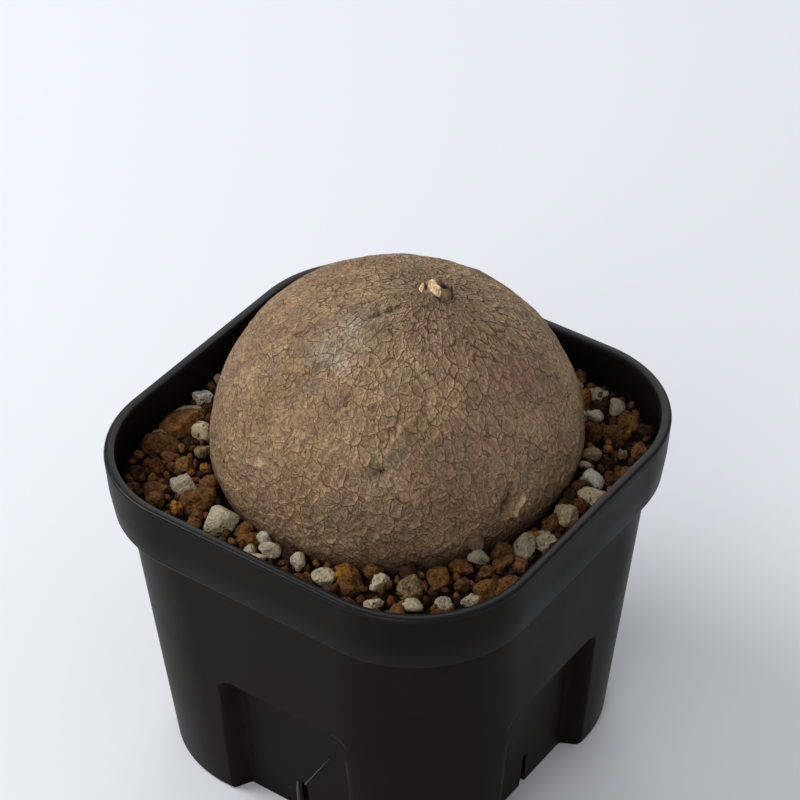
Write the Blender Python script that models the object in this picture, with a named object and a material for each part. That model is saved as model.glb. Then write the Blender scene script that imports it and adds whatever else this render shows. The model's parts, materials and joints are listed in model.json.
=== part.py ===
# Potted stephania: a bare, net-barked caudex set in gravel in a square plastic nursery pot.
# Metres, +Z up. The origin is the middle of the pot's base, and its sides run along X and Y.

import math
import random

import bmesh
import bpy
from mathutils import Matrix, Vector

# Pot
rim_side = 0.105
pot_height = 0.084
corner_radius = 0.028
corner_steps = 7
lip_width = 0.0024
wall = 0.0012
band_height = 0.0140
step_drop = 0.0030
band_taper = 0.0010
step_inset = 0.0034
base_inset = 0.0085
edge_round = 0.0006
floor_top = 0.0020
floor_hollow = 0.0008
floor_hollow_half = 0.0360
floor_hollow_radius = 0.0210
lip_draft = 0.0001
overrun = 0.0020

# Recessed panel low on each side of the pot
panel_height = 0.0362
panel_half_width = 0.0148
panel_offset = 0.0036
panel_depth = 0.0044
panel_corner = 0.0050
panel_flare = 0.5
panel_top_flare = 0.25
panel_reach = 0.0050
panel_arc_steps = 3
slit_width = 0.0022
slit_height = 0.0095
slit_offset = 0.0045
slit_floor_run = 0.0080
drain_radius = 0.0042
side_drain_radius = 0.0030
side_drain_distance = 0.0180
drain_sides = 16

# Gravel
gap = 0.0003
grit_drop_at_wall = 0.0078
bed_edge_lift = 0.0004
grit_drop_at_caudex = 0.0068
grit_skirt = 0.0017
grit_mound_width = 0.0140
mound_shares = (0.0, 0.5, 0.8, 1.0)
mound_inner = 0.97
grain_sizes = (0.0072, 0.0058, 0.0047, 0.0037)
grain_tries = (90, 320, 700, 900)
grain_spread = 0.80
grain_seed = 21
# Half-sizes of a stone as shares of its length, the last two drawn between two shares
stone_half_length = 0.56
stone_half_width = (0.41, 0.50)
stone_half_height = (0.35, 0.45)
stone_lumps = (0.88, 1.10)
stone_lift = (-0.14, 0.18)
stone_tips = (0.5, 0.4)
crevice = 0.0006
stone_reach = 0.36
# Stones set by hand: x, y and length in millimetres
placed_stones = [
    (-49.3, 0.5, 4.5), (-48.4, -7.9, 5.7), (-46.4, -12.8, 7.2), (-45.3, -17.2, 10.0),
    (-46.6, -23.2, 3.2), (-44.4, -25.3, 8.6), (-35.2, -21.9, 3.6), (-41.4, -30.8, 5.4),
    (-43.0, -35.3, 4.3), (-30.8, -26.6, 2.9), (-35.8, -27.5, 5.0), (-36.6, -37.0, 6.3),
    (-31.2, -33.7, 6.6), (-28.1, -40.5, 3.4), (-25.8, -35.2, 7.2), (-17.2, -38.4, 7.5),
    (-9.1, -39.2, 4.8), (-2.9, -40.0, 4.8), (4.6, -39.4, 4.5), (11.4, -39.7, 5.0),
    (17.0, -38.5, 6.3), (21.8, -34.4, 4.1), (27.8, -31.9, 6.8), (24.9, -40.0, 4.1),
    (31.8, -26.6, 5.9), (34.2, -21.6, 5.0), (36.9, -31.5, 4.1), (40.3, -27.2, 4.1),
    (38.6, -18.7, 4.1), (39.8, -14.1, 4.1), (43.1, -13.3, 4.1), (41.1, -7.7, 6.3),
    (42.4, -3.0, 5.9), (42.6, 5.4, 5.9), (44.3, 14.3, 8.1), (40.2, 10.5, 3.2), (40.2, 19.7, 6.1),
    (35.9, 26.1, 4.5), (36.8, 21.3, 2.5), (40.7, 25.6, 3.8), (44.3, 21.9, 2.9), (41.3, 30.2, 2.7),
    (38.5, 29.5, 2.3), (43.7, 32.9, 4.3), (35.6, 36.4, 5.9), (36.4, 41.7, 6.8), (29.6, 37.1, 3.8),
    (31.2, 44.0, 4.1), (24.4, 46.7, 7.2), (19.5, 48.0, 4.1),
]

# Caudex
caudex_radius = 0.0408
caudex_rise = 0.0386
caudex_keel = 0.0250
caudex_taper = 1.03
caudex_middle = Vector((-0.0015, 0.0046, pot_height - 0.0052))
caudex_lean = Vector((-0.0012, -0.0007, 0.0))
# Swells of the girth: lobes round it, share of the radius, direction of the first lobe in degrees
caudex_swells = [(2, 0.0195, 77.0), (3, 0.0114, 51.0), (5, 0.0040, 20.0)]
# Marks on the bark: turn and tilt from vertical in degrees, spread and rise
caudex_marks = [
    (34.0, 14.0, 0.0065, 0.0009),
    (-60.0, 60.5, 0.0022, -0.0011),
    (-94.0, 8.6, 0.0026, -0.0010),
    (-50.0, 10.5, 0.0026, -0.0010),
    (-11.0, 85.5, 0.0026, -0.0010),
]
cells_above = 400
cells_below = 70
cells_meet = -0.2
plain_below = 0.0100
cell_seed = 7
cell_jitter = 0.42
plate_share = 0.74
groove_depth = 0.0006
root_count = 5
root_length = 0.0200
root_radius = 0.0030
root_steps = 4
root_sides = 6
root_turn = 20.0
root_ring = 0.45
root_start = 0.70
root_bend = 0.5
root_taper = 0.75
room_slack = 0.0002
room_fineness = 4

# Dry stub of the vine at the crown
stub_turn = 34.0
stub_tilt = 14.0
stub_half_length = 0.0033
stub_half_width = 0.0021
stub_lie = 35.4
stub_height = 0.0026
stub_socket = 0.0016
stub_sides = 16
stub_ragged = 0.22
# Height up the stub and share of its girth there
stub_levels = [(0.0, 1.0), (0.55, 1.08), (1.0, 0.84)]
# Waves round the stub's girth: how many, and their share of it
stub_waves = [(2, 0.10), (5, 0.06)]

# Dry bud low on the side
bud_turn = -30.0
bud_tilt = 93.0
bud_root = 0.0012
bud_radius = 0.0019
bud_length = 0.0024
bud_lift = 25.0
bud_sides = 8
# Share of the bud's length and share of its girth there
bud_levels = [(0.0, 1.0), (0.62, 0.92), (0.9, 0.66), (1.0, 0.35)]


def clear_scene():
    for obj in list(bpy.data.objects):
        bpy.data.objects.remove(obj, do_unlink=True)


def material(name, colour, roughness, metallic=0.0):
    made = bpy.data.materials.new(name)
    made.use_nodes = True
    shader = made.node_tree.nodes["Principled BSDF"]
    shader.inputs["Base Color"].default_value = (*colour, 1.0)
    shader.inputs["Roughness"].default_value = roughness
    shader.inputs["Metallic"].default_value = metallic
    made.diffuse_color = (*colour, 1.0)
    return made


def object_from(name, vertices, faces, made_of=None):
    mesh = bpy.data.meshes.new(name)
    mesh.from_pydata(vertices, [], faces)
    mesh.validate()
    obj = bpy.data.objects.new(name, mesh)
    bpy.context.scene.collection.objects.link(obj)
    if made_of:
        mesh.materials.append(made_of)
    return obj


def make_cutter(obj):
    obj.hide_render = True
    obj.display_type = "WIRE"
    return obj


def boolean(obj, operation, other=None, collection=None, solver="EXACT"):
    modifier = obj.modifiers.new(operation.lower(), "BOOLEAN")
    modifier.operation = operation
    modifier.solver = solver
    if collection:
        modifier.operand_type = "COLLECTION"
        modifier.collection = collection
    else:
        modifier.object = other


def apply_modifiers(obj):
    bpy.context.view_layer.update()
    evaluated = obj.evaluated_get(bpy.context.evaluated_depsgraph_get())
    applied = bpy.data.meshes.new_from_object(evaluated)
    obj.modifiers.clear()
    obj.data = applied


def new_collection(name):
    made = bpy.data.collections.new(name)
    bpy.context.scene.collection.children.link(made)
    return made


def remove_collection(collection):
    for obj in list(collection.objects):
        bpy.data.objects.remove(obj, do_unlink=True)
    bpy.data.collections.remove(collection)


def keep_largest_body(obj):
    """Drops loose scraps, and the surface of any hollow that fusing has sealed."""
    bm = bmesh.new()
    bm.from_mesh(obj.data)
    bm.verts.ensure_lookup_table()
    unseen = set(bm.verts)
    bodies = []
    while unseen:
        body = set()
        edge = {unseen.pop()}
        while edge:
            body |= edge
            edge = {e.other_vert(v) for v in edge for e in v.link_edges} - body
        unseen -= body
        bodies.append(body)
    largest = max(bodies, key=len)
    scraps = [v for v in bm.verts if v not in largest]
    bmesh.ops.delete(bm, geom=scraps, context="VERTS")
    bm.to_mesh(obj.data)
    bm.free()


def smooth(obj, angle=35.0):
    obj.data.shade_smooth()
    obj.data.set_sharp_from_angle(angle=math.radians(angle))


def rounded_square(half, radius, z):
    """One ring of a square with round corners, counterclockwise seen from above."""
    ring = []
    for corner in range(4):
        turn = math.radians(90.0 * corner)
        centre = Matrix.Rotation(turn, 2) @ Vector((half - radius, half - radius))
        for step in range(corner_steps + 1):
            angle = turn + math.radians(90.0) * step / corner_steps
            x = centre.x + radius * math.cos(angle)
            y = centre.y + radius * math.sin(angle)
            ring.append((x, y, z))
    return ring


def loft(name, rings, made_of=None):
    """A closed solid through rings with equal counts, from the lowest to the highest."""
    count = len(rings[0])
    vertices = [point for ring in rings for point in ring]
    faces = [tuple(reversed(range(count)))]
    for level in range(len(rings) - 1):
        low = level * count
        high = low + count
        for i in range(count):
            j = (i + 1) % count
            faces.append((low + i, low + j, high + j, high + i))
    top = (len(rings) - 1) * count
    faces.append(tuple(range(top, top + count)))
    return object_from(name, vertices, faces, made_of)


def block_between(name, outer, inner):
    """A closed block between two matching outlines, each counterclockwise seen from outside the pot."""
    count = len(outer)
    faces = [tuple(range(count)), tuple(reversed(range(count, 2 * count)))]
    for i in range(count):
        j = (i + 1) % count
        faces.append((j, i, count + i, count + j))
    return object_from(name, outer + inner, faces)


def wall_half(z):
    """Half the pot's width at a height below the collar."""
    base_half = rim_side / 2 - base_inset
    shoulder_half = rim_side / 2 - step_inset
    shoulder = pot_height - band_height - step_drop
    return base_half + (shoulder_half - base_half) * z / shoulder


def pot_outside():
    rim_half = rim_side / 2
    shoulder = pot_height - band_height - step_drop
    collar = pot_height - band_height
    levels = [
        (0.0, wall_half(0.0) - edge_round),
        (edge_round, wall_half(0.0)),
        (shoulder, wall_half(shoulder)),
        (shoulder + step_drop * 0.35, wall_half(shoulder) + edge_round),
        (collar - step_drop * 0.25, rim_half - band_taper - edge_round),
        (collar, rim_half - band_taper),
        (pot_height - edge_round, rim_half),
        (pot_height, rim_half - edge_round),
    ]
    return [rounded_square(half, corner_radius, z) for z, half in levels]


def cavity(name, clearance, top_rings):
    """The room inside the pot, drawn in by a clearance, with its four panel pads taken out."""
    shoulder = pot_height - band_height - step_drop
    radius = corner_radius - wall - clearance
    levels = [
        (floor_top + clearance, wall_half(0.0) - wall - clearance),
        (shoulder, wall_half(shoulder) - wall - clearance),
    ]
    rings = [rounded_square(half, radius, z) for z, half in levels]
    room = loft(name, rings + top_rings)
    for side in range(4):
        pad = panel_block(f"{name}_pad_{side}", side, wall + clearance)
        boolean(room, "DIFFERENCE", make_cutter(pad))
    return room


def panel_outline(grow, reach):
    """Half-width and height points of a panel's outline, at a distance out from its floor."""
    half = panel_half_width + grow + panel_flare * reach
    top = panel_height + grow + panel_top_flare * reach
    points = [(-half, -overrun), (half, -overrun)]
    for turn, side in ((0.0, 1.0), (90.0, -1.0)):
        for step in range(panel_arc_steps + 1):
            angle = math.radians(turn + 90.0 * step / panel_arc_steps)
            across = side * (half - panel_corner) + panel_corner * math.cos(angle)
            points.append((across, top - panel_corner + panel_corner * math.sin(angle)))
    return points


def lean(side):
    """The way that a side's panel and slit are shifted, which alternates round the pot."""
    return 1.0 if side % 2 == 0 else -1.0


def panel_block(name, side, grow):
    """The block that a recessed panel takes out of one side, with sloping flanks."""
    turn = Matrix.Rotation(math.radians(90.0 * side), 3, "Z")
    middle = lean(side) * panel_offset
    reach = panel_depth + grow + panel_reach
    rings = []
    for distance, spread in ((reach, reach), (-grow, 0.0)):
        ring = []
        for across, z in panel_outline(grow, spread):
            out = wall_half(z) - panel_depth + distance
            ring.append(turn @ Vector((middle + across, -out, z)))
        rings.append(ring)
    return block_between(name, *rings)


def slit_block(name, side):
    """An upright slit through a panel's foot, which runs on under the floor."""
    turn = Matrix.Rotation(math.radians(90.0 * side), 3, "Z")
    outer = wall_half(0.0)
    inner = wall_half(0.0) - panel_depth - wall - slit_floor_run
    half = slit_width / 2
    profile = [(-half, -overrun), (half, -overrun), (half, slit_height - half)]
    profile += [(0.0, slit_height), (-half, slit_height - half)]
    middle = lean(side) * slit_offset
    rings = []
    for out in (outer, inner):
        rings.append([turn @ Vector((middle + across, -out, z)) for across, z in profile])
    return block_between(name, *rings)


def drain_cutter(name, x, y, radius):
    bm = bmesh.new()
    bmesh.ops.create_cone(
        bm, cap_ends=True, segments=drain_sides, radius1=radius, radius2=radius,
        depth=2 * (floor_top + overrun), matrix=Matrix.Translation((x, y, 0.0)),
    )
    mesh = bpy.data.meshes.new(name)
    bm.to_mesh(mesh)
    bm.free()
    obj = bpy.data.objects.new(name, mesh)
    bpy.context.scene.collection.objects.link(obj)
    return obj


def make_pot():
    """A thin-walled square pot with a collar, four recessed panels, slits and drain holes."""
    black = material("black_plastic", (0.022, 0.024, 0.027), 0.42)
    pot = loft("pot", pot_outside(), black)
    lip_half = rim_side / 2 - lip_width
    lip_radius = corner_radius - lip_width
    collar = pot_height - band_height
    lip_rings = [
        rounded_square(lip_half - lip_draft, lip_radius, collar),
        rounded_square(lip_half, lip_radius, pot_height + overrun),
    ]
    boolean(pot, "DIFFERENCE", make_cutter(cavity("pot_room", 0.0, lip_rings)))
    hollow_rings = [
        rounded_square(floor_hollow_half, floor_hollow_radius, -overrun),
        rounded_square(floor_hollow_half, floor_hollow_radius, floor_hollow),
    ]
    boolean(pot, "DIFFERENCE", make_cutter(loft("floor_hollow", hollow_rings)))
    for side in range(4):
        boolean(pot, "DIFFERENCE", make_cutter(panel_block(f"panel_{side}", side, 0.0)))
        boolean(pot, "DIFFERENCE", make_cutter(slit_block(f"slit_{side}", side)))
        angle = math.radians(45.0 + 90.0 * side)
        x = side_drain_distance * math.cos(angle)
        y = side_drain_distance * math.sin(angle)
        side_drain = drain_cutter(f"side_drain_{side}", x, y, side_drain_radius)
        boolean(pot, "DIFFERENCE", make_cutter(side_drain))
    boolean(pot, "DIFFERENCE", make_cutter(drain_cutter("middle_drain", 0.0, 0.0, drain_radius)))
    return pot


def towards(turn, tilt):
    """The unit direction at a turn from +X and a tilt from vertical, in degrees."""
    turn, tilt = math.radians(turn), math.radians(tilt)
    return Vector((math.sin(tilt) * math.cos(turn), math.sin(tilt) * math.sin(turn), math.cos(tilt)))


def mark_rise(direction):
    """How far the marks raise or sink the skin along a unit direction."""
    rise = 0.0
    for turn, tilt, spread, height in caudex_marks:
        apart = (direction - towards(turn, tilt)).length * caudex_radius / spread
        rise += height * math.exp(-apart * apart)
    return rise


def caudex_point(direction, lift=0.0):
    """A point of the plain globe along a unit direction, raised from its skin by a lift."""
    flat = math.hypot(direction.x, direction.y)
    around = math.atan2(direction.y, direction.x)
    wide = flat ** caudex_taper
    tall = math.copysign(abs(direction.z) ** caudex_taper, direction.z)
    height = caudex_rise if tall > 0.0 else caudex_keel
    radius = caudex_radius
    for lobes, share, turn in caudex_swells:
        radius += caudex_radius * share * math.cos(lobes * (around - math.radians(turn)))
    outward = Vector((math.cos(around), math.sin(around), 0.0)) * wide
    place = outward * radius + Vector((0.0, 0.0, height * tall))
    place += caudex_lean * max(tall, 0.0) ** 2
    normal = outward / radius + Vector((0.0, 0.0, tall / height))
    return caudex_middle + place + normal.normalized() * lift


def cell_centres():
    """Directions spread over the globe by the golden angle, dense above the gravel, each one jittered."""
    draw = random.Random(cell_seed)
    golden = math.pi * (3.0 - math.sqrt(5.0))
    bands = [(cells_above, 1.0, cells_meet), (cells_below, cells_meet, -1.0)]
    centres = []
    for count, high, low in bands:
        spacing = math.sqrt(2.0 * (high - low) * math.pi / count)
        for i in range(count):
            z = high + (low - high) * (i + 0.5) / count
            flat = math.sqrt(1.0 - z * z)
            angle = golden * len(centres)
            centre = Vector((flat * math.cos(angle), flat * math.sin(angle), z))
            shift = Vector([draw.uniform(-1.0, 1.0) for _ in range(3)])
            centres.append((centre + shift * spacing * cell_jitter).normalized())
    return centres


def cells_of(centres):
    """For each centre, the ring of directions where its cell meets its neighbours' cells."""
    bm = bmesh.new()
    for centre in centres:
        bm.verts.new(centre)
    bm.verts.index_update()
    bmesh.ops.convex_hull(bm, input=bm.verts)
    bmesh.ops.triangulate(bm, faces=bm.faces)
    bm.faces.index_update()
    corners = [face.calc_center_median().normalized() for face in bm.faces]
    rings = []
    for vert in bm.verts:
        side = vert.co.orthogonal().normalized()
        other = vert.co.cross(side)
        faces = sorted(
            vert.link_faces,
            key=lambda face: math.atan2(corners[face.index].dot(other), corners[face.index].dot(side)),
        )
        rings.append([face.index for face in faces])
    bm.free()
    return corners, rings


def make_caudex():
    """One grown body: plates of bark raised between a net of grooves, with roots below."""
    bark = material("bark", (0.235, 0.165, 0.115), 0.85)
    centres = cell_centres()
    corners, rings = cells_of(centres)
    centres = [sum((corners[i] for i in ring), Vector()).normalized() for ring in rings]
    corners, rings = cells_of(centres)
    vertices = [caudex_point(corner, mark_rise(corner)) for corner in corners]
    faces = []
    buried = caudex_middle.z - plain_below
    for centre, ring in zip(centres, rings):
        if caudex_point(centre).z < buried:
            faces.append(ring)
            continue
        first = len(vertices)
        count = len(ring)
        for i in ring:
            direction = centre.lerp(corners[i], plate_share).normalized()
            vertices.append(caudex_point(direction, groove_depth + mark_rise(direction)))
        faces.append([first + i for i in range(count)])
        for i in range(count):
            j = (i + 1) % count
            faces.append([ring[i], ring[j], first + j, first + i])
    caudex = object_from("caudex", vertices, faces, bark)
    for root in range(root_count):
        boolean(caudex, "UNION", make_cutter(root_block(f"root_{root}", root, 0.0)))
    boolean(caudex, "UNION", make_cutter(side_bud_block("side_bud", 0.0)))
    boolean(caudex, "DIFFERENCE", make_cutter(stub_block("stub_socket", gap)))
    return caudex


def root_block(name, index, grow):
    """A tapering root that leaves the underside and bends down and out."""
    angle = math.radians(360.0 / root_count * index + root_turn)
    outward = Vector((math.cos(angle), math.sin(angle), 0.0))
    down = Vector((0.0, 0.0, -1.0))
    start = caudex_middle + outward * caudex_radius * root_ring + down * caudex_keel * root_start
    length = root_length + grow
    rings = []
    for step in range(root_steps + 1):
        along = step / root_steps
        centre = start + outward * length * root_bend * along * along + down * length * along
        radius = root_radius * (1.0 - root_taper * along) + grow
        ring = []
        for i in range(root_sides):
            turn = 2.0 * math.pi * i / root_sides
            ring.append(centre + Vector((radius * math.cos(turn), radius * math.sin(turn), 0.0)))
        rings.append(ring)
    return loft(name, list(reversed(rings)))


def side_bud_block(name, grow):
    """A blunt dry bud low on the side, at the gravel's edge."""
    foot = caudex_point(towards(bud_turn, bud_tilt), -bud_root)
    outward = towards(bud_turn, bud_tilt - bud_lift)
    side = outward.orthogonal().normalized()
    other = outward.cross(side)
    rings = []
    for along, share in bud_levels:
        radius = bud_radius * share + grow
        centre = foot + outward * (bud_root + bud_length + grow) * along
        ring = []
        for i in range(bud_sides):
            turn = 2.0 * math.pi * i / bud_sides
            ring.append(centre + (side * math.cos(turn) + other * math.sin(turn)) * radius)
        rings.append(ring)
    return loft(name, rings)


def stub_block(name, grow, made_of=None):
    """The vine's dry stub, oval and ragged at its top, or the socket that holds it when grown."""
    spot = towards(stub_turn, stub_tilt)
    foot = caudex_point(spot, groove_depth + mark_rise(spot))
    lie = Matrix.Rotation(math.radians(stub_lie), 3, "Z")
    rings = []
    for up, share in [(-1.0, 1.0)] + stub_levels:
        z = up * stub_height if up >= 0.0 else -stub_socket - grow
        ring = []
        for i in range(stub_sides):
            turn = 2.0 * math.pi * i / stub_sides
            girth = share * (1.0 + sum(part * math.sin(count * turn) for count, part in stub_waves))
            long = (stub_half_length * girth + grow) * math.cos(turn)
            wide = (stub_half_width * girth + grow) * math.sin(turn)
            ragged = stub_height * stub_ragged * math.cos(3.0 * turn) if up == 1.0 else 0.0
            ring.append(foot + lie @ Vector((long, wide, z + ragged)))
        rings.append(ring)
    return loft(name, rings, made_of)


def make_stub():
    dry_wood = material("dry_wood", (0.42, 0.30, 0.19), 0.8)
    return stub_block("dry_stem_stub", 0.0, dry_wood)


def grit_height(x, y):
    """The gravel's surface, highest where it meets the caudex."""
    distance = math.hypot(x - caudex_middle.x, y - caudex_middle.y) - caudex_radius
    share = min(max(1.0 - distance / grit_mound_width, 0.0), 1.0)
    share = share * share * (3.0 - 2.0 * share)
    return pot_height - grit_drop_at_wall + (grit_drop_at_wall - grit_drop_at_caudex) * share


def bed_edge():
    """Half-width and corner radius of the gravel where it meets the collar's inner wall."""
    return rim_side / 2 - lip_width - lip_draft - gap, corner_radius - lip_width - gap


def wall_room(x, y):
    """The free distance from a point to the pot's inner wall near the gravel's surface."""
    half, radius = bed_edge()
    across = abs(x) - (half - radius)
    along = abs(y) - (half - radius)
    outside = math.hypot(max(across, 0.0), max(along, 0.0))
    return radius - outside - min(max(across, along), 0.0)


def stone_spots():
    """The stones set by hand, then a seeded fill of ever smaller ones that keep their distance."""
    spots = []
    for x, y, length in placed_stones:
        spots.append((x / 1000, y / 1000, length / 1000))
    draw = random.Random(grain_seed)
    half = rim_side / 2
    for size, tries in zip(grain_sizes, grain_tries):
        for _ in range(tries):
            x = draw.uniform(-half, half)
            y = draw.uniform(-half, half)
            from_caudex = math.hypot(x - caudex_middle.x, y - caudex_middle.y) - caudex_radius
            if wall_room(x, y) < size * 0.5 or from_caudex < -0.0005:
                continue
            near = [math.hypot(x - a, y - b) < grain_spread * (size + other) / 2 for a, b, other in spots]
            if not any(near):
                spots.append((x, y, size))
    return spots


def stone(name, x, y, length, draw):
    """A blunt twenty-sided stone, turned at random, with its top near the gravel's surface."""
    bm = bmesh.new()
    bmesh.ops.create_icosphere(bm, subdivisions=1, radius=length)
    for vert in bm.verts:
        vert.co *= draw.uniform(*stone_lumps)
    wide = draw.uniform(*stone_half_width)
    tall = draw.uniform(*stone_half_height)
    size = Matrix.Diagonal((stone_half_length, wide, tall, 1.0))
    tip = Matrix.Rotation(draw.uniform(-stone_tips[0], stone_tips[0]), 4, "X")
    tip @= Matrix.Rotation(draw.uniform(-stone_tips[1], stone_tips[1]), 4, "Y")
    bm.transform(Matrix.Rotation(draw.uniform(0.0, math.pi), 4, "Z") @ tip @ size)
    reach = max(math.hypot(v.co.x, v.co.y) for v in bm.verts)
    spot = clear_of_both(Vector((x, y)), length, reach)
    top = max(v.co.z for v in bm.verts)
    lift = grit_height(spot.x, spot.y) - top + draw.uniform(*stone_lift) * length
    bm.transform(Matrix.Translation((spot.x, spot.y, lift)))
    mesh = bpy.data.meshes.new(name)
    bm.to_mesh(mesh)
    bm.free()
    return bpy.data.objects.new(name, mesh)


def clear_of_both(spot, length, reach):
    """Moves a stone's spot out of the caudex, leaving a crevice, and then in from the pot's wall."""
    away = spot - caudex_middle.xy
    spot = spot + away.normalized() * max(caudex_radius + crevice + length * stone_reach - away.length, 0.0)
    return spot + spot.normalized() * min(wall_room(spot.x, spot.y) - reach, 0.0)


def caudex_room():
    """The hollow in the gravel that the caudex and its roots sit in, with the gap round them."""
    clearance = groove_depth + gap + room_slack
    bm = bmesh.new()
    bmesh.ops.create_icosphere(bm, subdivisions=room_fineness, radius=1.0)
    for vert in bm.verts:
        vert.co = caudex_point(vert.co.normalized(), clearance)
    mesh = bpy.data.meshes.new("caudex_room")
    bm.to_mesh(mesh)
    bm.free()
    room = bpy.data.objects.new("caudex_room", mesh)
    bpy.context.scene.collection.objects.link(room)
    for root in range(root_count):
        boolean(room, "UNION", make_cutter(root_block(f"root_room_{root}", root, clearance)))
    boolean(room, "UNION", make_cutter(side_bud_block("side_bud_room", gap)))
    return make_cutter(room)


def mound_ring(share):
    """A ring of the bed's top, at a share of the way from the pot's wall in to the caudex."""
    ring = []
    for x, y, _ in rounded_square(*bed_edge(), 0.0):
        outer = Vector((x, y)) - caudex_middle.xy
        inner = outer.normalized() * caudex_radius * mound_inner
        spot = caudex_middle.xy + outer.lerp(inner, share)
        ring.append((spot.x, spot.y, grit_height(spot.x, spot.y) - grit_skirt))
    return ring


def make_grit():
    """The gravel bed that fills the pot, with stones fused into its surface."""
    gravel = material("gravel", (0.20, 0.105, 0.060), 0.9)
    top_rings = [rounded_square(*bed_edge(), pot_height - band_height + bed_edge_lift)]
    top_rings += [mound_ring(share) for share in mound_shares]
    bed = cavity("potting_grit", gap, top_rings)
    bed.data.materials.append(gravel)
    apply_modifiers(bed)
    stones = new_collection("stones")
    draw = random.Random(grain_seed + 1)
    for number, (x, y, length) in enumerate(stone_spots()):
        stones.objects.link(stone(f"stone_{number}", x, y, length, draw))
    boolean(bed, "UNION", collection=stones, solver="MANIFOLD")
    boolean(bed, "DIFFERENCE", caudex_room(), solver="MANIFOLD")
    apply_modifiers(bed)
    remove_collection(stones)
    keep_largest_body(bed)
    return bed


def main():
    clear_scene()
    make_grit()
    for piece in (make_pot(), make_caudex(), make_stub()):
        smooth(piece)


main()
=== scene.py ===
import json
import math
import random

import bmesh
import bpy
import numpy as np
from mathutils import Matrix, Vector, noise

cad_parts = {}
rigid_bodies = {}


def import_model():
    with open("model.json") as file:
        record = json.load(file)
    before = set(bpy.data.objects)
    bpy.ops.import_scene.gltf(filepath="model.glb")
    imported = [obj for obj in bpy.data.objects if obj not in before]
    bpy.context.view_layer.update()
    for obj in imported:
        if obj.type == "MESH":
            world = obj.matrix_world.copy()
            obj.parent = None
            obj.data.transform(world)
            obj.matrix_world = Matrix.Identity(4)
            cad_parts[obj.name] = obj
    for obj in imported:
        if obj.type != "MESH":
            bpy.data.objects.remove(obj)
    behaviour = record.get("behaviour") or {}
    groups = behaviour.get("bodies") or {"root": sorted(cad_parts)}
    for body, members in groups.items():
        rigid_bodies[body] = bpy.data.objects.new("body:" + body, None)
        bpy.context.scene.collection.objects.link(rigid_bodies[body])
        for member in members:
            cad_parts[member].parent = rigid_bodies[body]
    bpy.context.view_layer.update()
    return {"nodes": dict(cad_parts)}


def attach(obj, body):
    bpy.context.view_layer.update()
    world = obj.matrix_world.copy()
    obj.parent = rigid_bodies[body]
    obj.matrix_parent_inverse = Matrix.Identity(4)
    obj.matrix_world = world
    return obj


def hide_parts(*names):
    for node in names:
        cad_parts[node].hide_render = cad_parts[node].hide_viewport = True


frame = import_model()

scene = bpy.context.scene
print("frame loaded:", sorted(frame["nodes"]))


# Camera, from the pot's rim as the picture shows it
view = {
    "place": (0.29621, -0.40820, 0.49728),
    "right": (0.81482, 0.57969, -0.00590),
    "back": (0.45466, -0.63268, 0.62689),
    "lens": 134.1,
    "sensor": 36.0,
}

right = Vector(view["right"]).normalized()
back = Vector(view["back"]).normalized()
up = back.cross(right).normalized()
cameraData = bpy.data.cameras.new("camera")
cameraData.lens = view["lens"]
cameraData.sensor_width = view["sensor"]
cameraData.sensor_fit = "HORIZONTAL"
cameraData.clip_start = 0.01
cameraData.clip_end = 20.0
camera = bpy.data.objects.new("camera", cameraData)
scene.collection.objects.link(camera)
camera.matrix_world = Matrix.Translation(view["place"]) @ Matrix((right, up, back)).transposed().to_4x4()
scene.camera = camera
scene.view_settings.view_transform = "Standard"
print("camera set")


# Small helpers for meshes and node trees

def meshObject(name, points, faces, smooth=True):
    mesh = bpy.data.meshes.new(name)
    mesh.from_pydata([tuple(p) for p in points], [], faces)
    mesh.update()
    made = bpy.data.objects.new(name, mesh)
    scene.collection.objects.link(made)
    if smooth:
        mesh.shade_smooth()
    return made


def addNode(tree, kind, sockets=None, **settings):
    node = tree.nodes.new(kind)
    for key, value in settings.items():
        setattr(node, key, value)
    for key, value in (sockets or {}).items():
        socket = node.inputs[key]
        if isinstance(value, bpy.types.NodeSocket):
            tree.links.new(value, socket)
        else:
            socket.default_value = value
    return node


def newMaterial(name, roughness=0.8):
    made = bpy.data.materials.new(name)
    made.use_nodes = True
    shader = made.node_tree.nodes["Principled BSDF"]
    shader.inputs["Roughness"].default_value = roughness
    return made, made.node_tree, shader


def mathOf(tree, operation, a, b=0.0, clamp=False):
    return addNode(tree, "ShaderNodeMath", {0: a, 1: b}, operation=operation, use_clamp=clamp).outputs[0]


def mixColour(tree, factor, a, b, blend="MIX"):
    sockets = {0: factor, 6: a, 7: b}
    return addNode(tree, "ShaderNodeMix", sockets, data_type="RGBA", blend_type=blend).outputs[2]


def ranged(tree, value, low, high, start, end, smooth=True):
    kind = "SMOOTHSTEP" if smooth else "LINEAR"
    sockets = {0: value, 1: low, 2: high, 3: start, 4: end}
    return addNode(tree, "ShaderNodeMapRange", sockets, interpolation_type=kind).outputs[0]


def noiseOf(tree, space, scale, detail=3.0, roughness=0.55, output=0):
    sockets = {"Vector": space, "Scale": scale, "Detail": detail, "Roughness": roughness}
    return addNode(tree, "ShaderNodeTexNoise", sockets).outputs[output]


def ridgesOf(tree, space, scale):
    # A noise that runs in crooked ridges
    sockets = {"Vector": space, "Scale": scale, "Detail": 3.0, "Roughness": 0.6, "Offset": 0.9, "Gain": 1.6}
    made = addNode(tree, "ShaderNodeTexNoise", noise_type="RIDGED_MULTIFRACTAL", normalize=True)
    for key, value in sockets.items():
        if isinstance(value, bpy.types.NodeSocket):
            tree.links.new(value, made.inputs[key])
        else:
            made.inputs[key].default_value = value
    return made.outputs[0]


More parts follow.
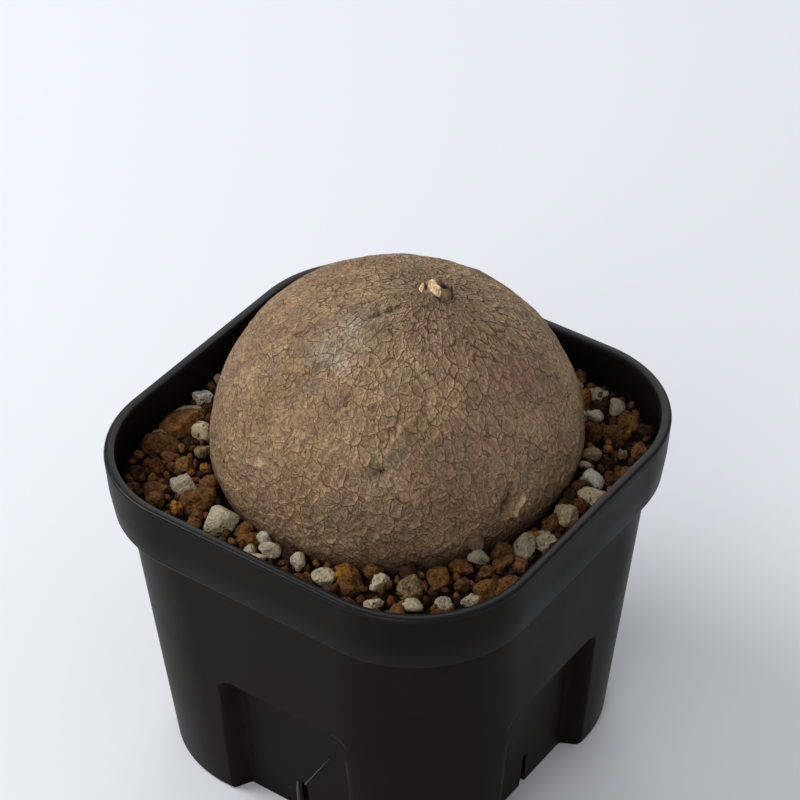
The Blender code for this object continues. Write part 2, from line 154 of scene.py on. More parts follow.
def voronoiOf(tree, space, scale, feature, output, randomness=1.0):
    sockets = {"Vector": space, "Scale": scale, "Randomness": randomness}
    return addNode(tree, "ShaderNodeTexVoronoi", sockets, feature=feature).outputs[output]


def warped(tree, space, scale, reach):
    # Space pushed about by a noise, so that cells lose their straight edges
    shift = noiseOf(tree, space, scale, 2.0, 0.5, 1)
    centred = addNode(tree, "ShaderNodeVectorMath", {0: shift, 1: (0.5, 0.5, 0.5)}, operation="SUBTRACT").outputs[0]
    scaled = addNode(tree, "ShaderNodeVectorMath", {0: centred, "Scale": reach}, operation="SCALE").outputs[0]
    return addNode(tree, "ShaderNodeVectorMath", {0: space, 1: scaled}, operation="ADD").outputs[0]


def newTree(name, inputs):
    tree = bpy.data.node_groups.new(name, "GeometryNodeTree")
    tree.interface.new_socket("Geometry", in_out="INPUT", socket_type="NodeSocketGeometry")
    for label, kind, value in inputs:
        socket = tree.interface.new_socket(label, in_out="INPUT", socket_type=kind)
        if value is not None:
            socket.default_value = value
    tree.interface.new_socket("Geometry", in_out="OUTPUT", socket_type="NodeSocketGeometry")
    return tree, tree.nodes.new("NodeGroupInput"), tree.nodes.new("NodeGroupOutput")


def runTree(source, tree, values, name):
    # A modifier's inputs are set by identifier before it is first evaluated
    modifier = source.modifiers.new(tree.name, "NODES")
    modifier.node_group = tree
    labels = {item.name: item.identifier for item in tree.interface.items_tree if item.in_out == "INPUT"}
    for label, value in values.items():
        modifier[labels[label]] = value
    bpy.context.view_layer.update()
    evaluated = source.evaluated_get(bpy.context.evaluated_depsgraph_get())
    mesh = bpy.data.meshes.new_from_object(evaluated)
    source.modifiers.remove(modifier)
    bpy.data.objects.remove(source, do_unlink=True)
    mesh.name = name
    made = bpy.data.objects.new(name, mesh)
    scene.collection.objects.link(made)
    return made


def setOwnMaterial(thing, material):
    thing.data.materials.clear()
    thing.data.materials.append(material)


# Pot: the same sizes as the solid's, in metres
pot = {
    "side": 0.105,
    "height": 0.084,
    "corner": 0.028,
    "lip": 0.0024,
    "wall": 0.0012,
    "band": 0.0140,
    "step": 0.0030,
    "bandTaper": 0.0010,
    "stepInset": 0.0034,
    "baseInset": 0.0085,
    "edge": 0.0006,
    "floor": 0.0020,
    "hollow": 0.0008,
    "hollowHalf": 0.0360,
    "hollowCorner": 0.0210,
    "panelHeight": 0.0362,
    "panelHalf": 0.0148,
    "panelOffset": 0.0036,
    "panelDepth": 0.0044,
    "panelFlare": 0.5,
    "panelTopFlare": 0.25,
    "panelRound": 0.0005,
    "panelCorner": 0.011,
    "slitWidth": 0.0022,
    "slitHeight": 0.0095,
    "slitOffset": 0.0045,
    "slitRun": 0.0080,
    "drain": 0.0042,
    "sideDrain": 0.0030,
    "sideDrainAway": 0.0180,
    "cornerSteps": 56,
    "sideSteps": 70,
    # Low ribs on the left panel: across and up at each end, half-width at each end, height
    "ribs": [
        ((0.0024, 0.0006), (0.0025, 0.0088), 0.00042, 0.00036, 0.00045),
        ((0.0046, 0.0089), (0.0125, 0.0226), 0.00026, 0.00006, 0.00030),
    ],
}


def wallHalf(z):
    base = pot["side"] / 2 - pot["baseInset"]
    shoulder = pot["side"] / 2 - pot["stepInset"]
    return base + (shoulder - base) * z / (pot["height"] - pot["band"] - pot["step"])


def roundedRing(half, corner, z):
    # One ring of a square with round corners, counterclockwise, with points along its sides too
    ring = []
    flat = half - corner
    for side in range(4):
        turn = math.radians(90.0 * side)
        cosTurn, sinTurn = round(math.cos(turn)), round(math.sin(turn))
        local = []
        for step in range(pot["sideSteps"]):
            local.append((-flat + 2.0 * flat * step / pot["sideSteps"], -half))
        for step in range(pot["cornerSteps"]):
            angle = math.radians(-90.0 + 90.0 * step / pot["cornerSteps"])
            local.append((flat + corner * math.cos(angle), -flat + corner * math.sin(angle)))
        for x, y in local:
            ring.append((x * cosTurn - y * sinTurn, x * sinTurn + y * cosTurn, z))
    return ring


def leanOf(side):
    # The panels and slits are shifted one way and the other in turn
    return 1.0 if side % 2 == 0 else -1.0


def softMin(a, b, width):
    share = max(width - abs(a - b), 0.0) / width
    return min(a, b) - share * share * width * 0.25


def recessed(ring, z, grow):
    # Draws a wall's ring in where the four panels are
    low = wallHalf(z) - pot["panelDepth"] - grow
    half = pot["panelHalf"] + grow
    top = pot["panelHeight"] + grow
    made = []
    for x, y, height in ring:
        for side in range(4):
            turn = math.radians(90.0 * side)
            cosTurn, sinTurn = round(math.cos(turn)), round(math.sin(turn))
            across = x * cosTurn + y * sinTurn
            out = x * sinTurn - y * cosTurn
            if out < abs(across) * 0.6:
                continue
            besideRun = (abs(across - leanOf(side) * pot["panelOffset"]) - half) / pot["panelFlare"]
            aboveRun = (z - top) / pot["panelTopFlare"]
            run = -softMin(-besideRun, -aboveRun, pot["panelCorner"])
            limit = low - softMin(-run, 0.0, pot["panelRound"])
            out = softMin(out, limit, pot["panelRound"])
            x = across * cosTurn + out * sinTurn
            y = across * sinTurn - out * cosTurn
        made.append((x, y, height))
    return made


def wallLevels(low, high):
    # Heights up a wall, close together at the panels' tops
    cuts = [low, low + 0.0006, low + 0.002, 0.006, 0.012, 0.018, 0.024, 0.029]
    cuts += [0.0315 + 0.0006 * i for i in range(13)]
    cuts += [0.042, 0.048, 0.055, 0.061, high - 0.002, high]
    return cuts


def potRings():
    rimHalf = pot["side"] / 2
    shoulder = pot["height"] - pot["band"] - pot["step"]
    collar = pot["height"] - pot["band"]
    corner = pot["corner"]
    rings = []
    for z, half in ((pot["hollow"], pot["hollowHalf"] - 0.0004), (0.0, pot["hollowHalf"])):
        rings.append(roundedRing(half, pot["hollowCorner"], z))
    rings.append(recessed(roundedRing(wallHalf(0.0) - pot["edge"], corner, 0.0), 0.0, 0.0))
    for z in wallLevels(0.0, shoulder)[1:]:
        rings.append(recessed(roundedRing(wallHalf(z), corner, z), z, 0.0))
    stepOut = [
        (0.16, wallHalf(shoulder) + 0.00010), (0.32, wallHalf(shoulder) + 0.00045),
        (0.46, wallHalf(shoulder) + 0.00120), (0.58, rimHalf - pot["bandTaper"] - 0.00075),
        (0.72, rimHalf - pot["bandTaper"] - 0.00022), (0.90, rimHalf - pot["bandTaper"]),
    ]
    for share, half in stepOut:
        rings.append(roundedRing(half, corner, shoulder + pot["step"] * share))
    lipIn = rimHalf - pot["lip"]
    rimProfile = [
        (collar + 0.006, rimHalf - pot["bandTaper"] * 0.5), (pot["height"] - 0.0016, rimHalf - 0.00010),
        (pot["height"] - 0.0008, rimHalf - 0.00002), (pot["height"] - 0.0004, rimHalf - 0.00010),
        (pot["height"] - 0.00012, rimHalf - 0.00032), (pot["height"], rimHalf - 0.00070),
        (pot["height"] - 0.00006, lipIn + 0.00060), (pot["height"] - 0.0002, lipIn + 0.00022),
        (pot["height"] - 0.0006, lipIn),
    ]
    for z, half in rimProfile:
        rings.append(roundedRing(half, corner - (rimHalf - half) * 0.9, z))
    for z in (collar + 0.008, collar + 0.003, collar + 0.0006):
        rings.append(roundedRing(lipIn - 0.0001, corner - pot["lip"], z))
    innerCorner = corner - pot["wall"]
    for share, extra in ((0.85, 0.0019), (0.55, 0.0012), (0.25, 0.0004)):
        z = shoulder + pot["step"] * share
        rings.append(roundedRing(wallHalf(shoulder) - pot["wall"] + extra, innerCorner, z))
    for z in reversed(wallLevels(pot["floor"], shoulder)):
        rings.append(recessed(roundedRing(wallHalf(z) - pot["wall"], innerCorner, z), z, pot["wall"]))
    return rings


def lofted(name, rings):
    count = len(rings[0])
    points = [p for ring in rings for p in ring]
    faces = [tuple(reversed(range(count)))]
    for level in range(len(rings) - 1):
        low = level * count
        for i in range(count):
            j = (i + 1) % count
            faces.append((low + i, low + j, low + count + j, low + count + i))
    top = (len(rings) - 1) * count
    faces.append(tuple(range(top, top + count)))
    return meshObject(name, points, faces)


def cutterBox(bm, corners):
    points = [bm.verts.new(c) for c in corners]
    for face in ((0, 1, 2, 3), (7, 6, 5, 4), (0, 4, 5, 1), (1, 5, 6, 2), (2, 6, 7, 3), (3, 7, 4, 0)):
        bm.faces.new([points[i] for i in face])


def potCutters():
    bm = bmesh.new()
    for side in range(4):
        turn = Matrix.Rotation(math.radians(90.0 * side), 3, "Z")
        outer = wallHalf(0.0)
        inner = outer - pot["panelDepth"] - pot["wall"] - pot["slitRun"]
        half = pot["slitWidth"] / 2
        corners = []
        for out in (outer, inner):
            for across, z in ((-half, -0.002), (half, -0.002), (half * 0.7, pot["slitHeight"]), (-half * 0.7, pot["slitHeight"])):
                corners.append(turn @ Vector((leanOf(side) * pot["slitOffset"] + across, -out, z)))
        cutterBox(bm, corners)
    drains = [(0.0, 0.0, pot["drain"])]
    for side in range(4):
        angle = math.radians(45.0 + 90.0 * side)
        away = pot["sideDrainAway"]
        drains.append((away * math.cos(angle), away * math.sin(angle), pot["sideDrain"]))
    for x, y, radius in drains:
        bmesh.ops.create_cone(
            bm, cap_ends=True, segments=40, radius1=radius, radius2=radius, depth=0.012,
            matrix=Matrix.Translation((x, y, 0.0)),
        )
    bmesh.ops.recalc_face_normals(bm, faces=bm.faces)
    mesh = bpy.data.meshes.new("potCutters")
    bm.to_mesh(mesh)
    bm.free()
    made = bpy.data.objects.new("potCutters", mesh)
    scene.collection.objects.link(made)
    return made


def plasticMaterial():
    made, tree, shader = newMaterial("blackPlastic", 0.45)
    space = addNode(tree, "ShaderNodeTexCoord").outputs["Object"]
    level = addNode(tree, "ShaderNodeSeparateXYZ", {0: space}).outputs[2]
    collar = ranged(tree, level, 0.066, 0.072, 0.0, 1.0)
    lip = ranged(tree, level, 0.0828, 0.0836, 0.0, 1.0)
    cloud = noiseOf(tree, space, 38.0, 4.0)
    fine = noiseOf(tree, space, 900.0, 3.0)
    dusty = ranged(tree, cloud, 0.35, 0.75, 0.0, 1.0)
    # Painted reflection: the wall below the collar is tinted warmer than the collar, standing in for the wooden stool
    # it reflects
    low = mixColour(tree, dusty, (0.0060, 0.0045, 0.0034, 1.0), (0.0096, 0.0074, 0.0058, 1.0))
    high = mixColour(tree, dusty, (0.0050, 0.0041, 0.0034, 1.0), (0.0082, 0.0068, 0.0057, 1.0))
    colour = mixColour(tree, collar, low, high)
    # Painted sheen: the lip's bluish grey stands in for a bluish reflection from the bright room
    colour = mixColour(tree, lip, colour, (0.0080, 0.0088, 0.0100, 1.0))
    dots = voronoiOf(tree, space, 210.0, "F1", "Distance")
    which = voronoiOf(tree, space, 210.0, "F1", "Color")
    chosen = ranged(tree, addNode(tree, "ShaderNodeSeparateColor", {0: which}).outputs[0], 0.80, 0.82, 0.0, 1.0)
    dust = mathOf(tree, "MULTIPLY", ranged(tree, dots, 0.018, 0.034, 1.0, 0.0), chosen)
    colour = mixColour(tree, mathOf(tree, "MULTIPLY", dust, 0.6), colour, (0.200, 0.205, 0.210, 1.0))
    tree.links.new(colour, shader.inputs["Base Color"])
    sheen = mathOf(tree, "ADD", ranged(tree, collar, 0.0, 1.0, 0.050, 0.052), mathOf(tree, "MULTIPLY", lip, 0.10))
    tree.links.new(sheen, shader.inputs["Specular IOR Level"])
    # Painted reflection: the warm specular tint, warmer on the wall than on the collar, stands in for the wooden stool
    tint = mixColour(tree, collar, (1.0, 0.74, 0.53, 1.0), (1.0, 0.84, 0.72, 1.0))
    tree.links.new(tint, shader.inputs["Specular Tint"])
    matt = ranged(tree, cloud, 0.3, 0.7, 0.34, 0.46)
    tree.links.new(mathOf(tree, "SUBTRACT", matt, mathOf(tree, "MULTIPLY", lip, 0.14)), shader.inputs["Roughness"])
    bump = addNode(tree, "ShaderNodeBump", {"Height": mathOf(tree, "MULTIPLY", fine, 0.25), "Strength": 0.35, "Distance": 0.00006})
    tree.links.new(bump.outputs[0], shader.inputs["Normal"])
    return made


def makePot():
    made = lofted("nurseryPot", potRings())
    cutters = potCutters()
    cut = made.modifiers.new("openings", "BOOLEAN")
    cut.operation = "DIFFERENCE"
    cut.solver = "EXACT"
    cut.object = cutters
    bpy.context.view_layer.update()
    evaluated = made.evaluated_get(bpy.context.evaluated_depsgraph_get())
    mesh = bpy.data.meshes.new_from_object(evaluated)
    made.modifiers.clear()
    made.data = mesh
    bpy.data.objects.remove(cutters, do_unlink=True)
    mesh.shade_smooth()
    mesh.set_sharp_from_angle(angle=math.radians(40.0))
    setOwnMaterial(made, plasticMaterial())
    return made


def makeRibs():
    # Thin ribs on the left panel's floor, each a tapering ridge
    points, faces = [], []
    for start, end, wide, narrow, rise in pot["ribs"]:
        a, b = Vector(start), Vector(end)
        aside = Vector((a.y - b.y, b.x - a.x)).normalized()
        first = len(points)
        for step in range(13):
            share = step / 12
            spot = a.lerp(b, share)
            half = wide + (narrow - wide) * share
            high = rise * min(1.0, 0.3 + 4.0 * share, 0.15 + 2.5 * (1.0 - share))
            for beside, above in ((1.0, -0.0002), (0.35, high), (-0.35, high), (-1.0, -0.0002)):
                place = spot + aside * half * beside
                floor = wallHalf(place.y) - pot["panelDepth"]
                points.append((place.x, -(floor + above), place.y))
        for step in range(12):
            low = first + step * 4
            for i in range(4):
                j = (i + 1) % 4
                faces.append((low + i, low + j, low + 4 + j, low + 4 + i))
        faces.append((first + 3, first + 2, first + 1, first))
        faces.append(tuple(first + 48 + i for i in range(4)))
    made = meshObject("panelRibs", points, faces, False)
    bm = bmesh.new()
    bm.from_mesh(made.data)
    bmesh.ops.recalc_face_normals(bm, faces=bm.faces)
    bm.to_mesh(made.data)
    bm.free()
    # Painted highlight: the ribs' pale grey stands in for the light their edges catch
    ribHighlight, tree, shader = newMaterial("ribHighlightPlastic", 0.4)
    shader.inputs["Base Color"].default_value = (0.070, 0.070, 0.072, 1.0)
    setOwnMaterial(made, ribHighlight)
    return made


nurseryPot = makePot()
panelRibs = makeRibs()
for piece in (nurseryPot, panelRibs):
    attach(piece, "root")
    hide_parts("pot")
print("pot made:", len(nurseryPot.data.polygons), "faces")


# Caudex: the same form as the solid's, in metres; turns and tilts in degrees
caudex = {
    "radius": 0.0408,
    "rise": 0.0386,
    "keel": 0.0250,
    "taper": 1.03,
    "middle": (-0.0015, 0.0046, 0.0788),
    "lean": (-0.0012, -0.0007, 0.0),
    "swells": [(2, 0.0195, 77.0), (3, 0.0114, 51.0), (5, 0.0040, 20.0)],
    "crown": (34.0, 14.0),
    "fineAbove": -0.09,
    "skin": 0.00035,
    "plateSize": 0.0025,
    "ridgeHeight": 0.00016,
    "crackDepth": 0.00012,
    "wrinkle": 0.00030,
    "swell": 0.00110,
    "rootCount": 5,
    "rootLength": 0.0200,
    "rootRadius": 0.0030,
    "budTurn": -30.0,
    "budTilt": 93.0,
}
middle = Vector(caudex["middle"])

# Dents and rises: turn, tilt, spread, height
marks = [
    (34.0, 14.0, 0.0065, 0.0009),
    (-59.4, 60.7, 0.0017, -0.0012), (-57.0, 57.5, 0.0016, 0.0004), (-63.5, 58.0, 0.0022, 0.0004),
    (-72.0, 15.5, 0.0022, 0.0005), (-56.0, 6.5, 0.0030, 0.0004),
    (-18.0, 81.5, 0.0017, -0.0012), (-8.0, 85.0, 0.0026, 0.0005), (-24.0, 80.0, 0.0024, 0.0005),
    (86.7, 27.9, 0.0008, 0.0006), (63.8, 39.4, 0.0010, 0.0006), (48.9, 46.6, 0.0012, -0.0005),
]
# Patches of colour: attribute, turn, tilt, spread, strength
patches = [
    # The first patches are painted shade, set mostly in the dents and sunk creases
    ("dentShade", -58.8, 60.2, 0.00075, 1.1), ("dentShade", -61.2, 61.2, 0.0005, 0.7),
    ("dentShade", -79.0, 13.2, 0.0006, 0.6), ("dentShade", -74.0, 12.0, 0.0006, 0.7),
    ("dentShade", -68.0, 10.7, 0.0007, 0.8), ("dentShade", -61.0, 10.0, 0.0006, 0.7), ("dentShade", -52.0, 9.3, 0.0006, 0.7),
    ("dentShade", -41.0, 9.0, 0.0006, 0.6), ("dentShade", -28.1, 8.8, 0.0006, 0.6),
    ("dentShade", -52.8, 15.0, 0.0004, 0.8), ("dentShade", -52.0, 18.0, 0.0004, 0.7),
    ("dentShade", -123.8, 32.0, 0.0006, 0.8), ("dentShade", -16.4, 79.0, 0.0007, 1.0),
    ("dentShade", -17.8, 80.8, 0.0008, 1.1), ("dentShade", -19.2, 83.0, 0.0007, 1.0), ("dentShade", -16.5, 87.5, 0.0008, 0.9),
    ("dentShade", 30.0, 10.0, 0.0017, 0.4), ("dentShade", 48.9, 46.6, 0.0007, 0.8),
    ("greyed", -92.2, 40.1, 0.0016, 0.9), ("greyed", -54.9, 35.7, 0.0022, 0.7), ("greyed", -53.3, 55.5, 0.0022, 0.7),
    ("greyed", -59.0, 61.0, 0.0040, 0.6), ("greyed", -80.0, 13.0, 0.0040, 0.8), ("greyed", -8.2, 76.6, 0.0026, 0.9),
    ("greyed", 25.0, 9.0, 0.0050, 0.5),
    ("ashen", -99.3, 29.9, 0.0034, 1.0), ("ashen", -84.6, 31.1, 0.0026, 1.0), ("ashen", -91.7, 19.0, 0.0036, 0.9),
    ("ashen", -75.0, 24.0, 0.0026, 0.5), ("ashen", -110.0, 24.0, 0.0026, 0.4),
    ("reddened", -120.6, 29.1, 0.0028, 1.0), ("reddened", -7.2, 26.5, 0.0060, 0.7),
    ("reddened", 9.2, 47.7, 0.0095, 0.8), ("reddened", -18.0, 62.0, 0.0110, 0.5),
    ("reddened", -45.0, 75.0, 0.0120, 0.5), ("reddened", -100.0, 70.0, 0.0100, 0.4),
    ("paled", -71.0, 14.2, 0.0006, 0.5), ("paled", -64.0, 13.4, 0.0005, 0.5),
    ("paled", -101.8, 69.1, 0.0009, 0.8), ("paled", -11.2, 81.9, 0.0006, 1.2), ("paled", -12.4, 83.5, 0.0007, 1.2),
    ("paled", -13.6, 85.2, 0.0007, 1.2), ("paled", -14.6, 86.6, 0.0006, 1.0), ("paled", -66.0, 9.5, 0.0010, 0.6),
]
# Raised veins and sunk creases: turn and tilt at each end, width, height
veins = [
    ((-80.5, 13.6), (-70.0, 10.9), 0.00055, -0.00050),
    ((-70.0, 10.9), (-49.9, 9.2), 0.00050, -0.00055),
    ((-49.9, 9.2), (-28.1, 8.8), 0.00045, -0.00050),
    ((-53.1, 14.2), (-51.9, 18.9), 0.00040, -0.00040),
    ((-15.5, 77.5), (-20.0, 84.5), 0.00050, -0.00080),
    ((-10.8, 81.1), (-15.1, 87.0), 0.00050, 0.00080),
    ((-43.7, 44.5), (-51.3, 48.4), 0.00048, 0.00055),
    ((-51.3, 48.4), (-56.4, 55.1), 0.00048, 0.00050),
    ((-37.2, 50.8), (-44.1, 55.5), 0.00045, 0.00050),
    ((-87.7, 43.0), (-78.9, 49.8), 0.00045, 0.00042),
    ((-94.8, 44.8), (-92.4, 52.6), 0.00045, 0.00042),
    ((-124.1, 30.3), (-130.4, 44.3), 0.00050, 0.00042),
    ((-130.4, 44.3), (-130.0, 52.7), 0.00045, 0.00038),
]


def towards(turn, tilt):
    turn, tilt = math.radians(turn), math.radians(tilt)
    return Vector((math.sin(tilt) * math.cos(turn), math.sin(tilt) * math.sin(turn), math.cos(tilt)))


def caudexPoints(directions, lift):
    # The globe's skin along unit directions, raised by a lift
    x, y, z = directions.T
    around = np.arctan2(y, x)
    wide = np.hypot(x, y) ** caudex["taper"]
    tall = np.copysign(np.abs(z) ** caudex["taper"], z)
    height = np.where(tall > 0.0, caudex["rise"], caudex["keel"])
    swell = sum(share * np.cos(lobes * (around - math.radians(turn))) for lobes, share, turn in caudex["swells"])
    radius = caudex["radius"] * (1.0 + swell)
    place = np.stack([radius * wide * np.cos(around), radius * wide * np.sin(around), height * tall], axis=1)
    place += np.array(caudex["lean"]) * (np.maximum(tall, 0.0) ** 2)[:, None]
    normal = np.stack([wide * np.cos(around) / radius, wide * np.sin(around) / radius, tall / height], axis=1)
    normal /= np.linalg.norm(normal, axis=1)[:, None]
    return np.array(caudex["middle"]) + place + normal * np.reshape(lift, (-1, 1))


def caudexPoint(direction, lift=0.0):
    return Vector(caudexPoints(np.array([direction]), np.array([lift]))[0])


def hump(directions, turn, tilt, spread):
    apart = np.linalg.norm(directions - np.array(towards(turn, tilt)), axis=1) * caudex["radius"] / spread
    return np.exp(-apart * apart)


def globeDirections():
    # An icosphere that is fine only where it stands clear of the gravel
    bm = bmesh.new()
    bmesh.ops.create_icosphere(bm, subdivisions=5, radius=1.0)
    for _ in range(3):
        edges = [e for e in bm.edges if max(e.verts[0].co.z, e.verts[1].co.z) > caudex["fineAbove"]]
        bmesh.ops.subdivide_edges(bm, edges=edges, cuts=1, use_grid_fill=True)
        for vert in bm.verts:
            vert.co.normalize()
    bmesh.ops.triangulate(bm, faces=bm.faces)
    bm.verts.index_update()
    directions = np.array([v.co for v in bm.verts])
    faces = [[v.index for v in f.verts] for f in bm.faces]
    bm.free()
    return directions, faces


def barkSpaceOf(points):
    # Space for the bark's net, in millimetres: drawn together round the crown, so cells run out from it,
    # most of all on its right side
    crown = caudexPoint(towards(*caudex["crown"]))
    axis = (crown - middle).normalized()
    apart = (points - np.array(crown)) * 1000.0
    along = apart @ np.array(axis)
    flat = apart - along[:, None] * np.array(axis)
    reach = np.maximum(np.linalg.norm(flat, axis=1), 0.001)
    rightward = flat @ np.array(right) / reach
    stretch = 0.67 - 0.15 * rightward
    drawn = stretch * reach + 8.0 * (1.0 - np.exp(-reach / 4.0))
    return flat * (drawn / reach)[:, None] + along[:, None] * np.array(axis) * (1.15 * stretch + 0.05)[:, None]


def setAttribute(mesh, name, kind, values):
    made = mesh.attributes.new(name, kind, "POINT")
    key = "vector" if kind == "FLOAT_VECTOR" else "value"
    made.data.foreach_set(key, np.ascontiguousarray(values, np.float32).ravel())


def netSpace(tree, space):
    # Two sizes of wander in the borders of the plates
    return warped(tree, warped(tree, space, 0.28, 2.2), 1.0, 0.85)


def openness(tree, space, crownward):
    # Where the borders of the plates have cracked open: in patches, and all over near the crown
    patchy = ranged(tree, noiseOf(tree, space, 0.26, 3.0), 0.40, 0.60, 0.0, 1.0)
    broken = ranged(tree, noiseOf(tree, space, 0.75, 2.0), 0.38, 0.52, 0.42, 1.0)
    opened = mathOf(tree, "ADD", patchy, mathOf(tree, "MULTIPLY", crownward, 0.8), True)
    return mathOf(tree, "MULTIPLY", opened, broken)


def reliefTree():
    # Raised borders between the plates, cracked open in patches, along the normals of the skin
    tree, given, result = newTree("barkRelief", [
        ("Plate Size", "NodeSocketFloat", 2.5), ("Ridge Height", "NodeSocketFloat", 0.0002),
        ("Crack Depth", "NodeSocketFloat", 0.0001), ("Wrinkle", "NodeSocketFloat", 0.0003),
        ("Swell", "NodeSocketFloat", 0.001),
        ("Material", "NodeSocketMaterial", None),
    ])

    def stored(name, kind):
        return addNode(tree, "GeometryNodeInputNamedAttribute", {"Name": name}, data_type=kind).outputs[0]

    space = stored("barkSpace", "FLOAT_VECTOR")
    perPlate = mathOf(tree, "DIVIDE", 1.0, given.outputs["Plate Size"])
    edge = voronoiOf(tree, netSpace(tree, space), perPlate, "DISTANCE_TO_EDGE", "Distance")
    ridge = ranged(tree, edge, 0.04, 0.26, 1.0, 0.0)
    crack = mathOf(tree, "MULTIPLY", ranged(tree, edge, 0.0, 0.09, 1.0, 0.0), openness(tree, space, stored("crownward", "FLOAT")))
    fine = noiseOf(tree, space, 0.55, 4.0, 0.6)
    height = mathOf(tree, "MULTIPLY", ridge, given.outputs["Ridge Height"])
    height = mathOf(tree, "SUBTRACT", height, mathOf(tree, "MULTIPLY", crack, given.outputs["Crack Depth"]))
    rough = mathOf(tree, "MULTIPLY", mathOf(tree, "SUBTRACT", fine, 0.5), given.outputs["Wrinkle"])
    uneven = mathOf(tree, "SUBTRACT", noiseOf(tree, space, 0.13, 2.0, 0.45), 0.5)
    rough = mathOf(tree, "ADD", rough, mathOf(tree, "MULTIPLY", uneven, given.outputs["Swell"]))
    height = mathOf(tree, "MULTIPLY", mathOf(tree, "ADD", height, rough), stored("clear", "FLOAT"))
    normal = addNode(tree, "GeometryNodeInputNormal").outputs[0]
    offset = addNode(tree, "ShaderNodeVectorMath", {0: normal, "Scale": height}, operation="SCALE").outputs[0]
    moved = addNode(tree, "GeometryNodeSetPosition", {"Geometry": given.outputs["Geometry"], "Offset": offset})
    real = addNode(tree, "GeometryNodeRealizeInstances", {0: moved.outputs[0]})
    dressed = addNode(tree, "GeometryNodeSetMaterial", {0: real.outputs[0], "Material": given.outputs["Material"]})
    tree.links.new(dressed.outputs[0], result.inputs[0])
    return tree


def attributeOf(tree, name, output="Fac"):
    return addNode(tree, "ShaderNodeAttribute", attribute_name=name).outputs[output]


bark = {
    "tan": (0.412, 0.268, 0.143, 1.0),
    "brown": (0.286, 0.173, 0.082, 1.0),
    "grey": (0.285, 0.220, 0.155, 1.0),
    "mauve": (0.300, 0.160, 0.100, 1.0),
    "dull": (0.240, 0.184, 0.132, 1.0),
    "ashen": (0.430, 0.360, 0.268, 1.0),
    "smudge": (0.170, 0.140, 0.120, 1.0),
    "crack": (0.054, 0.028, 0.014, 1.0),
    # painted shade for the dents and sunk creases
    "dentShadeColour": (0.026, 0.014, 0.009, 1.0),
    "pale": (0.640, 0.455, 0.255, 1.0),
    # painted contact shade at the gravel line
    "gritLineShadeColour": (0.085, 0.045, 0.024, 1.0),
}


